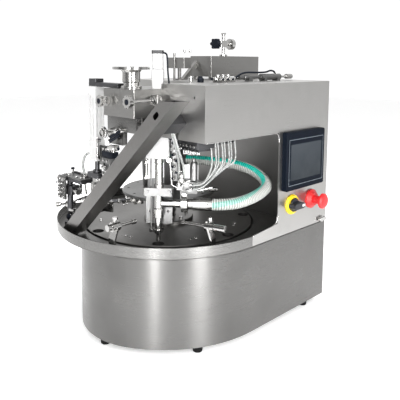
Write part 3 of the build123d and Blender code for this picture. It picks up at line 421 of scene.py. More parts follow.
def selector_finish():
    """Black grip with a white pointer at one end."""
    m = Shader("selector_finish")
    wear = m.noise((90, 90, 90), 5.0)
    across = m.band("Y", at_y(POINTER_Y[0]), at_y(POINTER_Y[1]))
    pointer = m.math("MULTIPLY", across, m.band("Z", *POINTER_Z))
    pointer = m.math("MULTIPLY", pointer, m.step("X", at_x(POINTER_FLOOR)))
    base = m.mixed(m.ranged(wear, 0.0, 1.0), (0.005, 0.006, 0.01), (0.012, 0.013, 0.018))
    m.link(m.mixed(pointer, base, (0.8, 0.8, 0.8)), m.shader.inputs["Base Color"])
    m.link(m.ranged(wear, 0.3, 0.42), m.shader.inputs["Roughness"])
    return m


dress("selector_knob", selector_finish())


def screen_finish():
    """A touch screen that is off, with a faint panel pattern behind its glass, and lighter towards the top
    as a painted reflection.
    """
    m = Shader("screen_finish")
    cloud = m.noise((14, 14, 14), 3.0)
    # Painted reflection: the glass gets lighter towards its top edge.
    top = m.ranged(m.along("Z"), 0.0, 1.0, 0.376, 0.468)
    base = m.mixed(top, (0.016, 0.02, 0.024), (0.035, 0.041, 0.048))
    m.link(m.mixed(m.ranged(cloud, 0.0, 0.35), base, (0.05, 0.056, 0.062)), m.shader.inputs["Base Color"])
    m.link(m.ranged(cloud, 0.12, 0.2), m.shader.inputs["Roughness"])
    m.set(Specular_IOR_Level=0.05)
    return m


dress("panel_screen", screen_finish())


# The product hose: a ribbed tube with a coloured stripe, swept along its route
HOSE_DIAMETER = 0.028
HOSE_ROUTE = [beside_valve(129, 338), beside_valve(155, 338), place(275, -18, 338), place(272, 60, 343),
              place(262, 118, 360), place(190, 130, 390), place(100, 90, 402), place(20, 50, 400)]
HOSE_SIDES = 32
RIB_PITCH = 0.0058
RIB_DEPTH = 0.0014
POINTS_PER_RIB = 6
# Shares of the hose's length between which the stripe turns, and of its round: the turn and the half width
STRIPE_TWIST = (0.01, 0.37)
STRIPE_TURN = 0.4
STRIPE_EDGE = (0.065, 0.09)


def smooth_route(name, points):
    """A smooth curve with the route's points as its control points."""
    curve = bpy.data.curves.new(name, "CURVE")
    curve.dimensions = "3D"
    curve.resolution_u = 24
    spline = curve.splines.new("NURBS")
    spline.points.add(len(points) - 1)
    for point, spot in zip(spline.points, points):
        point.co = (*spot, 1.0)
    spline.order_u = 3
    spline.use_endpoint_u = True
    return curve


def route_line(curve):
    """The points of a curve's own line."""
    holder = bpy.data.objects.new("route_line", curve)
    bpy.context.scene.collection.objects.link(holder)
    mesh = bpy.data.meshes.new_from_object(holder)
    line = [v.co.copy() for v in mesh.vertices]
    bpy.data.objects.remove(holder)
    bpy.data.meshes.remove(mesh)
    return line


def line_length(line):
    """The length of a line of points."""
    return sum((b - a).length for a, b in zip(line, line[1:]))


def evenly(line, spacing):
    """Points at an even spacing along a line."""
    total = line_length(line)
    count = max(2, round(total / spacing))
    made, walked, index = [], 0.0, 0
    for step in range(count + 1):
        target = total * step / count
        while index < len(line) - 2 and walked + (line[index + 1] - line[index]).length < target:
            walked += (line[index + 1] - line[index]).length
            index += 1
        run = line[index + 1] - line[index]
        made.append(line[index] + run * ((target - walked) / run.length))
    return made


def swept_tube(name, line, radius_at, sides):
    """A closed mesh tube along a line. Its UV runs along and round it."""
    mesh = bpy.data.meshes.new(name)
    bm = bmesh.new()
    uv = bm.loops.layers.uv.new("UVMap")
    rings = []
    up = Vector((0, 0, 1))
    for index, spot in enumerate(line):
        ahead = line[min(index + 1, len(line) - 1)] - line[max(index - 1, 0)]
        ahead.normalize()
        side = ahead.cross(up).normalized()
        lift = side.cross(ahead)
        radius = radius_at(index / (len(line) - 1))
        rings.append([bm.verts.new(spot + (side * math.cos(a) + lift * math.sin(a)) * radius)
                      for a in (math.tau * s / sides for s in range(sides))])
    for index, (first, second) in enumerate(zip(rings, rings[1:])):
        for s in range(sides):
            t = (s + 1) % sides
            face = bm.faces.new((first[s], first[t], second[t], second[s]))
            face.smooth = True
            places = [(index, s), (index, s + 1), (index + 1, s + 1), (index + 1, s)]
            for loop, (i, j) in zip(face.loops, places):
                loop[uv].uv = (i / (len(line) - 1), j / sides)
    bm.faces.new(list(reversed(rings[0])))
    bm.faces.new(rings[-1])
    bmesh.ops.recalc_face_normals(bm, faces=bm.faces)
    bm.to_mesh(mesh)
    bm.free()
    piece = bpy.data.objects.new(name, mesh)
    bpy.context.scene.collection.objects.link(piece)
    return piece


def hose_finish(ribs):
    """Cloudy clear plastic, with painted shade that makes the rib crests lighter and the grooves darker, and
    one teal stripe that twists slowly along the hose.
    """
    m = Shader("hose_finish")
    layout = m.node("ShaderNodeSeparateXYZ")
    m.link(m.node("ShaderNodeTexCoord").outputs["UV"], layout.inputs["Vector"])
    along, around = layout.outputs["X"], layout.outputs["Y"]

    def from_middle(turns):
        """How far each turn's fraction lies from its middle."""
        fraction = m.math("FRACT", turns, 0)
        return m.math("ABSOLUTE", m.math("SUBTRACT", fraction, 0.5), 0)

    twist = m.ranged(along, *STRIPE_TWIST, 0.0, STRIPE_TURN)
    off = from_middle(m.math("ADD", m.math("SUBTRACT", around, twist), 0.5))
    stripe = m.ranged(off, 1.0, 0.0, *STRIPE_EDGE)
    # Painted shade: darker in the grooves between the ribs and lighter on their crests, for the clear wall
    # and the stripe.
    rib_shade = m.ranged(from_middle(m.math("MULTIPLY", along, ribs)), 0.0, 1.0, 0.16, 0.3)
    cloud = m.noise((120, 120, 120), 4.0)
    clear = m.mixed(rib_shade, (0.22, 0.225, 0.21), (0.56, 0.58, 0.55))
    clear = m.mixed(m.ranged(cloud, 0.0, 0.3), clear, (0.4, 0.41, 0.39))
    teal = m.mixed(rib_shade, (0.0, 0.34, 0.26), (0.02, 0.5, 0.4))
    seen = m.math("MULTIPLY", stripe, m.ranged(along, 0.45, 1.0, 0.2, 0.45))
    m.link(m.mixed(seen, clear, teal), m.shader.inputs["Base Color"])
    m.link(m.ranged(cloud, 0.16, 0.3), m.shader.inputs["Roughness"])
    m.set(Transmission_Weight=0.2)
    return m


def add_hose():
    """The ribbed hose from the filling valve's tail to the product manifold."""
    line = route_line(smooth_route("product_hose_route", HOSE_ROUTE))
    length = line_length(line)
    spots = evenly(line, RIB_PITCH / POINTS_PER_RIB)
    ribs = length / RIB_PITCH

    def radius_at(share):
        wave = 0.5 + 0.5 * math.cos(math.tau * ribs * share)
        return HOSE_DIAMETER / 2 - RIB_DEPTH * (1 - wave ** 0.5)

    hose = swept_tube("hose_tube", spots, radius_at, HOSE_SIDES)
    hose.data.materials.append(hose_finish(ribs).material)
    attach(hose, "frame")
    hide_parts("product_hose")


add_hose()


# Small parts modelled here: turned, milled and bent shapes gathered into one mesh
SHARP_ANGLE = math.radians(32)


class Form:
    """A mesh that gathers turned shapes, blocks and rods, and becomes one piece."""

    def __init__(self):
        self.bm = bmesh.new()

    def turned(self, spot, axis, profile, sides=28):
        """A closed turned shape. Its profile is (radius, height) in mm along an axis from a spot in mm."""
        axis = Vector(axis).normalized()
        side = axis.orthogonal().normalized()
        up = axis.cross(side)
        rings = []
        for radius, height in profile:
            centre = place(*spot) + axis * height / 1000
            angles = (math.tau * s / sides for s in range(sides))
            rings.append([self.bm.verts.new(centre + (side * math.cos(a) + up * math.sin(a)) * radius / 1000)
                          for a in angles])
        for first, second in zip(rings, rings[1:]):
            for s in range(sides):
                t = (s + 1) % sides
                self.bm.faces.new((first[s], first[t], second[t], second[s]))
        self.bm.faces.new(list(reversed(rings[0])))
        self.bm.faces.new(rings[-1])

    def block(self, centre, size, turn=0.0, bevel=0.8, tilt=0.0):
        """A milled block, turned about the vertical and tilted about its own depth, with softened edges."""
        made = bmesh.ops.create_cube(self.bm, size=1.0)
        lay = Matrix.Translation(place(*centre)) @ Matrix.Rotation(math.radians(turn), 4, "Z")
        lay = lay @ Matrix.Rotation(math.radians(tilt), 4, "Y")
        lay = lay @ Matrix.Diagonal((*(length / 1000 for length in size), 1.0))
        bmesh.ops.transform(self.bm, matrix=lay, verts=made["verts"])
        edges = {edge for vert in made["verts"] for edge in vert.link_edges}
        bmesh.ops.bevel(self.bm, geom=list(edges), offset=bevel / 1000, segments=2, profile=0.5,
                        affect="EDGES")

    def collar(self, spot, axis, radius, length, sides=28, soft=1.0):
        """A round collar, or a nut when it has six sides. Its ends are drawn in by a soft amount."""
        self.turned(spot, axis, [(radius - soft, 0), (radius, 1), (radius, length - 1),
                                 (radius - soft, length)], sides)

    def screw_head(self, spot, axis, radius, height):
        """The round head of a screw."""
        self.turned(spot, axis, [(radius - 0.6, 0), (radius, 0.4), (radius, height - 0.4),
                                 (radius - 0.8, height)], 16)

    def rod(self, start, end, radius, sides=16):
        """A round rod between two spots, with softened ends."""
        run = Vector(end) - Vector(start)
        soft = min(0.8, radius * 0.3)
        self.turned(start, run, [(radius - soft, 0), (radius, soft), (radius, run.length - soft),
                                 (radius - soft, run.length)], sides)

    def piece(self, name, shader, slot, body="frame"):
        """Ends the mesh as one named piece that rides a body."""
        mesh = bpy.data.meshes.new(name)
        bmesh.ops.recalc_face_normals(self.bm, faces=self.bm.faces)
        for face in self.bm.faces:
            face.smooth = True
        for edge in self.bm.edges:
            edge.smooth = edge.calc_face_angle(math.pi) < SHARP_ANGLE
        self.bm.to_mesh(mesh)
        self.bm.free()
        mesh.materials.append(shader.material)
        made = bpy.data.objects.new(name, mesh)
        bpy.context.scene.collection.objects.link(made)
        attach(made, body)
        return made


STATION_TURN = math.degrees(FIRST_STATION)
OUTWARD = (math.cos(FIRST_STATION), math.sin(FIRST_STATION), 0)
ALONGSIDE = (-math.sin(FIRST_STATION), math.cos(FIRST_STATION), 0)


def at_station(side, out, z):
    """A spot in mm beside the filling station: sideways, outwards and up."""
    radius = POCKET_CIRCLE + out
    return (radius * OUTWARD[0] + side * ALONGSIDE[0], radius * OUTWARD[1] + side * ALONGSIDE[1], z)


def moved(spot, way, distance):
    """A spot or a direction with a share of another direction added."""
    return tuple(a + b * distance for a, b in zip(spot, way))


def push_in(metal, black, spot, axis, size=1.0):
    """A push-in air fitting: a hexagon, a body and a black release ring."""
    way = Vector(axis).normalized()
    metal.turned(spot, axis, [(5.2 * size, 0), (5.6 * size, 0.5), (5.6 * size, 5 * size),
                              (5 * size, 5.4 * size)], 6)
    metal.turned(moved(spot, way, 5 * size), axis,
                 [(4 * size, 0), (4.6 * size, 0.8), (4.6 * size, 8 * size), (4.2 * size, 8.8 * size)], 18)
    black.turned(moved(spot, way, 13.4 * size), axis,
                 [(3.4 * size, 0), (4.4 * size, 0.6), (4.4 * size, 2 * size), (3.8 * size, 2.6 * size)], 18)


def knurled(form, spot, axis, radius, length, grooves=9):
    """A knurled knob with ring grooves and a domed end."""
    pitch = length / grooves
    profile = [(radius * 0.8, 0)]
    for groove in range(grooves):
        low = groove * pitch
        profile += [(radius, low + 0.15 * pitch), (radius, low + 0.6 * pitch),
                    (radius * 0.9, low + 0.75 * pitch)]
    profile += [(radius * 0.85, length), (radius * 0.5, length + 0.8)]
    form.turned(spot, axis, profile, 24)


HANDWHEEL_X, HANDWHEEL_Z = 66, 510
HANDWHEEL_SPOKES = 3


def add_valve_plate():
    """The folded plate under the lift head, and the small valve with a handwheel on it."""
    plate = Form()
    plate_y, plate_depth = -229, 14
    plate.block((104, plate_y, 530.2), (112, plate_depth, 35), bevel=1.2)
    plate.block((78, plate_y, 497), (60, plate_depth, 33), bevel=1.2)
    plate.piece("valve_plate", materials["sheet_upright"], "stainless")

    metal, black = Form(), Form()
    plate_front = plate_y - plate_depth / 2

    def on_axis(y):
        return (HANDWHEEL_X, y, HANDWHEEL_Z)

    metal.turned(on_axis(plate_front), FORWARD, [(7, 0), (7.5, 1), (7.5, 7), (5, 8), (5, 20), (4, 21)])
    metal.turned(on_axis(plate_front - 21), FORWARD,
                 [(12.5, 0), (14, 1.5), (14, 4.5), (12.5, 6), (10.5, 5), (10.5, 2)], 36)
    metal.turned(on_axis(plate_front - 20), FORWARD, [(5, 0), (5.5, 0.5), (5.5, 8), (4.5, 9)])
    for spoke in range(HANDWHEEL_SPOKES):
        turn = math.tau * spoke / HANDWHEEL_SPOKES + 0.4
        hub = on_axis(plate_front - 24)
        metal.rod(hub, moved(hub, (math.cos(turn), 0, math.sin(turn)), 12), 1.7, 10)

    pipe_y = plate_front - 10
    metal.rod((HANDWHEEL_X, pipe_y, 510), (104, pipe_y, 514), 5.5)
    metal.collar((96, pipe_y, 513), (1, 0, 0.1), 7.5, 8, 6)
    metal.rod((110, pipe_y, 516), (110, -232, 516), 6)
    grip_y = pipe_y - 4
    for lift in (0, 9):
        black.rod((78, grip_y, 489 + lift), (112, grip_y + 2, 506 + lift), 3.6, 14)
        metal.rod((74, grip_y, 487 + lift), (79, grip_y, 489.5 + lift), 4.4, 14)
    block_z = 474
    metal.block((84, pipe_y + 3, block_z), (24, 14, 12))
    for x, way in ((90, (0, -0.3, -1)), (78, (-1, -0.2, 0)), (97, (1, -0.2, 0.1))):
        push_in(metal, black, (x, pipe_y, block_z), way, 0.8)
    metal.piece("handwheel_valve", materials["bright_steel"], "bright_steel")
    black.piece("handwheel_valve_grips", materials["black_plastic"], "black_plastic")


def add_capper_fittings():
    """The flow control and sensor block beside the capping cylinder."""
    metal, black, pale = Form(), Form(), Form()
    plane = -211
    pale.block((-8, plane, 440), (26, 6, 50))
    black.block((22, plane, 446), (44, 20, 15), bevel=1.5)
    sensor_z = 431
    pale.block((16, plane - 1, sensor_z), (34, 18, 13))
    for x in (8, 24):
        metal.screw_head((x, plane - 10, sensor_z), FORWARD, 3, 3)
    for x in (-4, 10, 24, 36):
        push_in(metal, black, (x, plane - 3, 453), UP, 0.55)
    guide_x = -14
    metal.rod((guide_x, plane - 13, 430), (guide_x, plane - 13, 486), 2.2)
    for z in (434, 478):
        metal.block((guide_x, plane - 10, z), (8, 10, 8))
    for x, z in ((2, 412), (16, 405), (6, 396), (16, 388)):
        knurled(metal, (x, plane - 5, z), (0.3, -1, 0.1), 4.6, 7, 4)
    pale.block((9, plane + 2, 404), (26, 10, 46))
    metal.piece("capper_fittings", materials["bright_steel"], "bright_steel")
    black.piece("capper_sensor", materials["black_plastic"], "black_plastic")
    pale.piece("capper_plate", materials["white_metal"], "white_aluminium")


# Where the eight valve tubes end: outwards from the pocket circle, and height
TUBE_ROWS = [(out, z) for z in (386, 376) for out in (9, 1, -7, -15)]
RAIL_SIDE = 40
STATION_TUBE_SIDES = (50, 62)
FILTER_SIDE = 84


def add_station_fittings():
    """The air manifold beside the filling station, with its fittings, filter and clamp lever."""
    metal, black, pale = Form(), Form(), Form()
    pale.block(at_station(RAIL_SIDE, 0, 452), (13, 13, 116), STATION_TURN)
    for z in (470, 512):
        pale.block(at_station(RAIL_SIDE - 9, 0, z), (10, 14, 8), STATION_TURN)
    for index in range(8):
        z = 402 + 14 * index
        lean = 0.5 if index % 2 else -0.4
        push_in(metal, black, at_station(RAIL_SIDE, 6, z), moved(OUTWARD, ALONGSIDE, lean), 0.72)
        if index % 2:
            push_in(metal, black, at_station(RAIL_SIDE + 6, 0, z), ALONGSIDE, 0.72)
    black.block(at_station(33, 12, 506), (18, 12, 16), STATION_TURN, 1.5)
    black.collar(at_station(33, 18, 500), OUTWARD, 6, 10)
    metal.collar(at_station(28, 16, 446), OUTWARD, 6.5, 5, 24, 1.5)

    elbow = at_station(34, 12, 386)
    metal.rod(at_station(30, 14, 444), elbow, 1.8)
    metal.rod(elbow, at_station(50, 6, 376), 1.8)
    metal.block(at_station(52, 2, 380), (16, 14, 14), STATION_TURN)
    metal.turned(at_station(56, 4, 392), UP, [(7, 0), (8, 1), (8, 8), (6, 10), (6, 18), (5, 19)])
    for side in STATION_TUBE_SIDES:
        push_in(metal, black, at_station(side, 0, 386), UP, 0.7)
    pale.turned(at_station(FILTER_SIDE, -6, 392), UP,
                [(7, 0), (9.5, 3), (9.5, 42), (7, 46), (4, 47), (4, 54)])
    metal.rod(at_station(52, -2, 384), at_station(FILTER_SIDE, -6, 396), 3)

    pale.block(at_station(70, -4, 381), (12, 36, 20), STATION_TURN)
    for out, z in TUBE_ROWS:
        push_in(metal, black, at_station(75, out, z), ALONGSIDE, 0.5)
    pale.block(at_station(80, 0, 369), (14, 28, 10), STATION_TURN)
    metal.rod(at_station(92, 0, 370), at_station(124, 2, 378), 3)
    metal.collar(at_station(120, 2, 377), moved(ALONGSIDE, UP, 0.22), 4.2, 10, soft=1.2)
    lever_side = -26
    metal.rod(at_station(lever_side, 14, 400), at_station(lever_side, 14, 448), 2.4)
    for z in (404, 440):
        knurled(metal, at_station(lever_side, 12, z), OUTWARD, 5, 8, 4)
    metal.piece("station_fittings", materials["bright_steel"], "bright_steel")
    black.piece("station_rings", materials["black_plastic"], "black_plastic")
    pale.piece("station_manifold", materials["white_metal"], "white_aluminium")


def add_guide_arms():
    """Guide arms under the centre plate, with the shoe that steers a bottle to the capping station."""
    metal, black = Form(), Form()
    black.rod((-52, -166, 303), (-17, -82, 305), 4)
    black.rod((-66, -150, 300), (-17, -86, 297), 3.4)
    arm_turn = 65
    metal.block((-28, -108, 307), (34, 16, 18), arm_turn)
    metal.block((-20, -92, 301), (26, 14, 20), arm_turn)
    for spot in ((-36, -124, 300), (-40, -136, 302)):
        metal.collar(spot, (-0.4, -1, 0.1), 6, 8, 6)
    metal.block((-58, -172, 292), (46, 6, 30), 24, 2)
    metal.rod((-52, -168, 303), (-56, -178, 303), 6)
    metal.rod((-66, -152, 300), (-70, -162, 300), 5)
    metal.piece("guide_arm_clamps", materials["bright_steel"], "bright_steel")
    black.piece("guide_arms", materials["dark_metal"], "dark_anodised")


TRACK_LINKS = [((-110, -212, 354), (-124, -206, 318)), ((-134, -212, 318), (-118, -206, 354)),
               ((-98, -210, 354), (-100, -204, 322))]
BANK_ROWS, BANK_COLUMNS = 5, 3
BANK_ROW_PITCH, BANK_COLUMN_PITCH = 12, 11


def add_fittings_bank(metal, black):
    """Rows of push-in fittings and knurled screws in turn, with a knob at the end of each row."""
    for row in range(BANK_ROWS):
        lift = BANK_ROW_PITCH * row
        for column in range(BANK_COLUMNS):
            spot = (-171 + BANK_COLUMN_PITCH * column, -242, 312 + lift)
            if (row + column) % 2:
                push_in(metal, black, spot, (-0.15, -1, 0.05), 0.6)
            else:
                knurled(metal, spot, (-0.1, -1, 0), 4.2, 6, 3)
        knurled(metal, (-176, -238, 314 + lift), (-1, -0.2, 0), 3.6, 7, 3)


def add_track_fittings():
    """The fittings bank, adjusting rods and stops round the cap track."""
    metal, black, pale = Form(), Form(), Form()
    pale.block((-160, -240, 336), (34, 5, 64))
    pale.block((-126, -216, 366), (96, 38, 4.5))
    add_fittings_bank(metal, black)
    plate_top = 368
    for x in (-166, -150, -112, -90):
        metal.turned((x, -226, plate_top), UP, [(3.4, 0), (4, 0.4), (4, 3), (3.2, 3.6)], 18)
    metal.rod((-168, -203, plate_top), (-168, -203, plate_top + 12), 3)
    black.collar((-168, -203, plate_top + 10), UP, 5, 6, 20, 2)
    push_in(metal, black, (-86, -218, plate_top), UP, 0.75)
    metal.block((-104, -204, plate_top + 5), (30, 10, 10))

    rod_z = 285
    metal.rod((-178, -240, rod_z), (-158, -176, rod_z), 3.6)
    knurled(metal, (-177, -238, rod_z), (-0.3, -0.95, 0), 7, 13, 5)
    metal.block((-164, -214, rod_z), (22, 18, 16), 15)
    metal.rod((-174, -170, 294), (-150, -166, 266), 2.6)
    metal.rod((-150, -172, 292), (-172, -168, 266), 2.6)
    metal.block((-160, -174, 283), (12, 12, 14))
    lower_z = 272
    metal.rod((-138, -224, lower_z), (-118, -176, lower_z), 3)
    metal.block((-142, -222, lower_z), (18, 12, 12), 15)
    foot_z = 262
    metal.rod((-128, -238, foot_z), (-118, -200, foot_z), 5)
    black.collar((-128, -238, foot_z), (-0.25, -1, 0), 6.5, 9, 24, 2.5)
    metal.turned((-124, -222, 235), UP, [(10, 0), (10, 3), (5, 4), (5, 20), (9, 21), (9, 34), (7, 35)])
    for start, end in TRACK_LINKS:
        metal.rod(start, end, 3, 12)
    metal.piece("track_fittings", materials["bright_steel"], "bright_steel")
    black.piece("track_rings", materials["black_plastic"], "black_plastic")
    pale.piece("track_plates", materials["white_metal"], "white_aluminium")


def add_top_fittings():
    """Flow controls, elbows and the valve row on top of the head, and the gauge's dial."""
    metal, black, pale = Form(), Form(), Form()
    row_z = HOUSING_TOP + 6
    metal.block((TOP_ROW_X, 6, row_z), (20, 60, 12))
    for y in (-16, 2, 20):
        knurled(metal, (TOP_ROW_X, y, row_z + 5), UP, 5.2, 8, 4)
        push_in(metal, black, (TOP_ROW_X + 9, y, row_z), (1, -0.2, 0.2), 0.7)
    push_in(metal, black, (TOP_ROW_X, -24, row_z + 1), (0, -1, 0.15), 0.9)
    push_in(metal, black, (TOP_ROW_X, 35, row_z + 1), (0, 1, 0.25), 0.8)
    silencer_x = TOP_ROW_X - 12
    metal.block((silencer_x, 44, row_z - 2), (14, 20, 9))
    metal.rod((silencer_x, 30, row_z), (silencer_x, 62, row_z + 2), 4)
    black.turned((170, -46, HOUSING_TOP), UP, [(7, 0), (8, 1), (8, 9), (5, 12), (5, 15)])
    metal.turned((150, -60, HOUSING_TOP - 12), UP, [(6, 0), (6, 6), (4, 7), (4, 20), (7, 21), (7, 26)], 20)
    push_in(metal, black, (TOP_ROW_X, 214, HOUSING_TOP + 18), (0, -0.8, 0.6), 0.6)
    for x in (30, 52):
        metal.turned((x, 30, 697), UP, [(2.5, 0), (3, 0.5), (3, 9), (2, 10)], 16)
    pale.turned((20, 229.5, 726), (0, 1, 0), [(12.8, 0), (13.4, 4.8), (12.8, 5)], 36)
    black.block((22.5, 235, 728), (1.2, 0.8, 13), tilt=45, bevel=0.2)
    metal.piece("top_fittings", materials["bright_steel"], "bright_steel")
    black.piece("top_rings", materials["black_plastic"], "black_plastic")
    pale.piece("gauge_dial", materials["pale_anodised"], "white_aluminium")


def add_valve_terminal():
    """The dark valve terminal under the head that the air tubes leave, and the fittings in front of it."""
    metal, black, dark = Form(), Form(), Form()
    dark.block((205, -92, HEAD_BOTTOM - 14), (64, 56, 27), bevel=2)
    dark.block((192, -20, HEAD_BOTTOM - 12), (80, 70, 23), bevel=2)
    dark.block((160, -60, HEAD_BOTTOM - 14), (26, 100, 27), bevel=2)
    for index in range(5):
        x = 180 + 12 * index
        dark.block((x, -92, 470), (9, 40, 8))
        metal.screw_head((x, -121, 480), FORWARD, 3.2, 3.4)
        push_in(metal, black, (x - 2, -104, 467), DOWN, 0.6)
    for index in range(4):
        knurled(metal, (176 + 14 * index, -56, 482), FORWARD, 4.4, 8, 4)
    metal.piece("terminal_fittings", materials["bright_steel"], "bright_steel")
    black.piece("terminal_rings", materials["black_plastic"], "black_plastic")
    dark.piece("valve_terminal", materials["dark_metal"], "dark_anodised")


def add_knob_inserts():
    """Black discs in the faces of the two adjusting knobs."""
    for name, spot in (("flow_knob", (63, -269.2, 583)), ("stroke_knob", (173, -271.7, 587))):
        disc = Form()
        disc.turned(spot, FORWARD, [(5, 0), (6, 0.3), (6, 0.8), (4.5, 1.1)], 28)
        disc.piece(name + "_insert", materials["black_plastic"], "black_plastic", name)


# The window's edge in the side panel: its front corner, and how far the bead runs each way from it
WINDOW_REAR_Y = 97
BEAD_ENDS = ((0, 259), (-160, HEAD_BOTTOM))
BEAD_CORNER = 20.0
BEAD_RADIUS = 0.0013
BEAD_SINK = 0.4
CORNER_STEPS = 8


def add_window_bead():
    """The rolled edge of the side window."""
    face = HOUSING_FACE - BEAD_SINK
    corners = [BEAD_ENDS[0], (WINDOW_REAR_Y, WINDOW_SILL), (WINDOW_REAR_Y, HEAD_BOTTOM), BEAD_ENDS[1]]
    line = [place(face, *corners[0])]
    for before, corner, after in zip(corners, corners[1:], corners[2:]):
        here = Vector(corner)
        start = here + (Vector(before) - here).normalized() * BEAD_CORNER
        end = here + (Vector(after) - here).normalized() * BEAD_CORNER
        for step in range(CORNER_STEPS + 1):
            t = step / CORNER_STEPS
            line.append(place(face, *(start * (1 - t) ** 2 + here * 2 * t * (1 - t) + end * t ** 2)))
    line.append(place(face, *corners[-1]))
    bead = swept_tube("window_bead", evenly(line, 0.003), lambda share: BEAD_RADIUS, 12)
    bead.data.materials.append(materials["bright_steel"].material)
    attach(bead, "frame")


# Air tubes: thin cords between fittings
TUBE_SPACING = 0.002
TUBE_SIDES = 12
AIR_TUBE = 0.006
VALVE_TUBE = 0.004
CYLINDER_CABLE = 0.004
TOP_TUBE = 0.005


def clear_tube_finish():
    """Clear air tube with a slightly cloudy wall."""
    m = Shader("clear_tube")
    cloud = m.noise((200, 200, 200), 4.0)
    wall = m.mixed(m.ranged(cloud, 0.0, 1.0), (0.3, 0.31, 0.3), (0.46, 0.47, 0.46))
    m.link(wall, m.shader.inputs["Base Color"])
    m.link(m.ranged(cloud, 0.1, 0.2), m.shader.inputs["Roughness"])
    m.set(Transmission_Weight=0.3)
    return m


def add_air_tube(name, route, diameter, shader):
    """A thin air tube between two fittings."""
    line = route_line(smooth_route(name + "_route", [place(*spot) for spot in route]))
    spots = evenly(line, TUBE_SPACING)
    tube = swept_tube(name, spots, lambda share: diameter / 2, TUBE_SIDES)
    tube.data.materials.append(shader.material)
    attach(tube, "frame")


def add_valve_tubes(clear):
    """The bundle that leaves the valve terminal, sweeps down and meets the block beside the station."""
    for index, (out, z) in enumerate(TUBE_ROWS):
        end = at_station(83, out, z)
        lead = at_station(104, out, z - 2)
        x, y = 232 + 3 * (index % 2), -74 + 11.5 * index
        low = (0.3 * lead[0] + 0.7 * x, 0.3 * lead[1] + 0.7 * y, 402 + 2 * index)
        route = [(x, y, HEAD_BOTTOM - 0.5), (x + 2, y + 2, 468), (x + 3, y + 5, 430), low, lead, end]
        add_air_tube(f"valve_tube_{index + 1}", route, VALVE_TUBE, clear)


def add_air_tubes():
    """Clear tubes at the stations and black ones on top."""
    clear = clear_tube_finish()
    capper = [(-60, -211, 438), (-76, -212, 438), (-90, -216, 424), (-92, -219, 400), (-86, -218, 386),
              (-86, -218, 379)]
    add_air_tube("capper_tube", capper, AIR_TUBE, clear)
    for index, side in enumerate(STATION_TUBE_SIDES):
        shift = 7 * index
        low = at_station(side, 0, 398)
        route = [(196 + shift, -165.5, 572), (198 + shift, -182, 572), (206 + shift, -188, 552),
                 (210 + shift, -176, 515), (204 + shift, -150, 460), (low[0], low[1], 425), low]
        add_air_tube(f"station_tube_{index + 1}", route, AIR_TUBE, clear)
    add_valve_tubes(clear)
    black = materials["black_plastic"]
    cable = [(160.4, -156, 694), (170, -156, 694), (173, -156, 682), (172, -154, 655), (170, -150, 636),
             (170, -148, 624.2)]
    add_air_tube("cylinder_cable", cable, CYLINDER_CABLE, black)
    over_top = [(200, 46, 634), (200, 58, 640), (202, 80, 648), (203, 130, 646.5), (202, 170, 647),
                (200, 192, 653), (200, 205, 649)]
    add_air_tube("top_tube", over_top, TOP_TUBE, black)


add_valve_plate()
add_capper_fittings()
add_station_fittings()
add_guide_arms()
add_track_fittings()
add_top_fittings()
add_valve_terminal()
add_knob_inserts()
add_window_bead()
add_air_tubes()


# Studio: a pale floor, a pale world and large soft lights
FLOOR_HALF = 8.0
FLOOR_GLOW = 0.3


def add_floor():
    """The pale floor that the machine stands on."""
    m = Shader("floor_finish")
    cloud = m.noise((3, 3, 3), 3.0)
    pale = m.mixed(m.ranged(cloud, 0.0, 1.0), (0.93, 0.93, 0.93), (0.9, 0.9, 0.9))
    m.link(pale, m.shader.inputs["Base Color"])
    m.link(m.ranged(cloud, 0.6, 0.7), m.shader.inputs["Roughness"])
    m.set(Emission_Color=(1.0, 1.0, 1.0), Emission_Strength=FLOOR_GLOW)
    mesh = bpy.data.meshes.new("floor")
    corners = [(-FLOOR_HALF, -FLOOR_HALF, 0), (FLOOR_HALF, -FLOOR_HALF, 0),
               (FLOOR_HALF, FLOOR_HALF, 0), (-FLOOR_HALF, FLOOR_HALF, 0)]
    mesh.from_pydata(corners, [], [(0, 1, 2, 3)])
    mesh.materials.append(m.material)
    floor = bpy.data.objects.new("floor", mesh)
    bpy.context.scene.collection.objects.link(floor)


def add_light(name, spot, target, width, height, power):
    """A rectangular light that points at a target and isn't seen itself."""
    data = bpy.data.lights.new(name, "AREA")
    data.shape = "RECTANGLE"
    data.size = width
    data.size_y = height
    data.energy = power
    light = bpy.data.objects.new(name, data)
    light.location = spot
    light.rotation_euler = (Vector(target) - Vector(spot)).to_track_quat("-Z", "Y").to_euler()
    light.visible_camera = False
    bpy.context.scene.collection.objects.link(light)


# How far the strips stand from the machine, and how high above the floor they start, in metres
STRIP_REACH = 1.6
STRIP_LIFT = 0.02


def add_strip(name, bearing, width, height, power):
    """A tall narrow light that stands round the machine and draws one bright band on its round front."""
    turn = math.radians(bearing)
    middle = height / 2 + STRIP_LIFT
    x, y = STRIP_REACH * math.cos(turn), STRIP_REACH * math.sin(turn)
    add_light(name, (x, y, middle), (0, 0, middle), width, height, power)


# The world's levels by bearing in degrees. A dark band has a bearing, a wide and a narrow half angle.
BACKDROP_BEARING = 136
BACKDROP_WIDE, BACKDROP_NARROW = 85, 45
ROOM_LEVEL = 0.8
BACKDROP_LEVEL = 1.05
DARK_BANDS = [(-41, 20, 8), (-100, 26, 12), (14, 24, 10)]
DARK_SHARE = 0.15


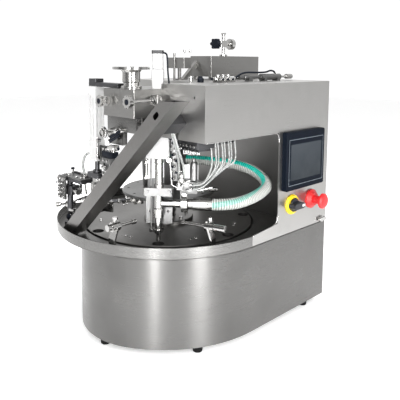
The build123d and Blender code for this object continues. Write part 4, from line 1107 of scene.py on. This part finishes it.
def add_world():
    """White behind the machine, greyer round the camera, with three darker bands that the steel reflects."""
    world = bpy.data.worlds.new("studio")
    world.use_nodes = True
    tree = world.node_tree
    level_plan = tree.nodes.new("ShaderNodeVectorMath")
    level_plan.operation = "MULTIPLY"
    level_plan.inputs[1].default_value = (1, 1, 0)
    tree.links.new(tree.nodes.new("ShaderNodeTexCoord").outputs["Generated"], level_plan.inputs[0])
    unit = tree.nodes.new("ShaderNodeVectorMath")
    unit.operation = "NORMALIZE"
    tree.links.new(level_plan.outputs["Vector"], unit.inputs[0])

    def facing(bearing, wide, narrow, outside, within):
        """A level that changes from outside to within as the look turns to a bearing."""
        turn = math.radians(bearing)
        dot = tree.nodes.new("ShaderNodeVectorMath")
        dot.operation = "DOT_PRODUCT"
        dot.inputs[1].default_value = (math.cos(turn), math.sin(turn), 0)
        tree.links.new(unit.outputs["Vector"], dot.inputs[0])
        fade = tree.nodes.new("ShaderNodeMapRange")
        fade.inputs["From Min"].default_value = math.cos(math.radians(wide))
        fade.inputs["From Max"].default_value = math.cos(math.radians(narrow))
        fade.inputs["To Min"].default_value = outside
        fade.inputs["To Max"].default_value = within
        tree.links.new(dot.outputs["Value"], fade.inputs["Value"])
        return fade.outputs["Result"]

    total = facing(BACKDROP_BEARING, BACKDROP_WIDE, BACKDROP_NARROW, ROOM_LEVEL, BACKDROP_LEVEL)
    for bearing, wide, narrow in DARK_BANDS:
        product = tree.nodes.new("ShaderNodeMath")
        product.operation = "MULTIPLY"
        tree.links.new(total, product.inputs[0])
        tree.links.new(facing(bearing, wide, narrow, 1.0, DARK_SHARE), product.inputs[1])
        total = product.outputs["Value"]
    tree.links.new(total, tree.nodes["Background"].inputs["Strength"])
    tree.nodes["Background"].inputs["Color"].default_value = (1, 1, 1, 1)
    bpy.context.scene.world = world


def add_studio():
    """The world, three strips, a key light and a soft light from above, in metres and watts."""
    add_world()
    add_strip("front_left_strip", bearing=-54, width=0.11, height=1.5, power=22)
    add_strip("front_strip", bearing=-15, width=0.36, height=1.5, power=28)
    add_strip("left_strip", bearing=158, width=0.3, height=0.3, power=4)
    add_light("key", spot=(1.3, -2.0, 2.1), target=(0, 0, 0.35), width=0.9, height=0.9, power=8)
    add_light("top", spot=(0, 0, 2.6), target=(0, 0, 0), width=1.8, height=1.8, power=44)
    bpy.context.scene.view_settings.view_transform = "Standard"


add_floor()
add_studio()
add_camera()
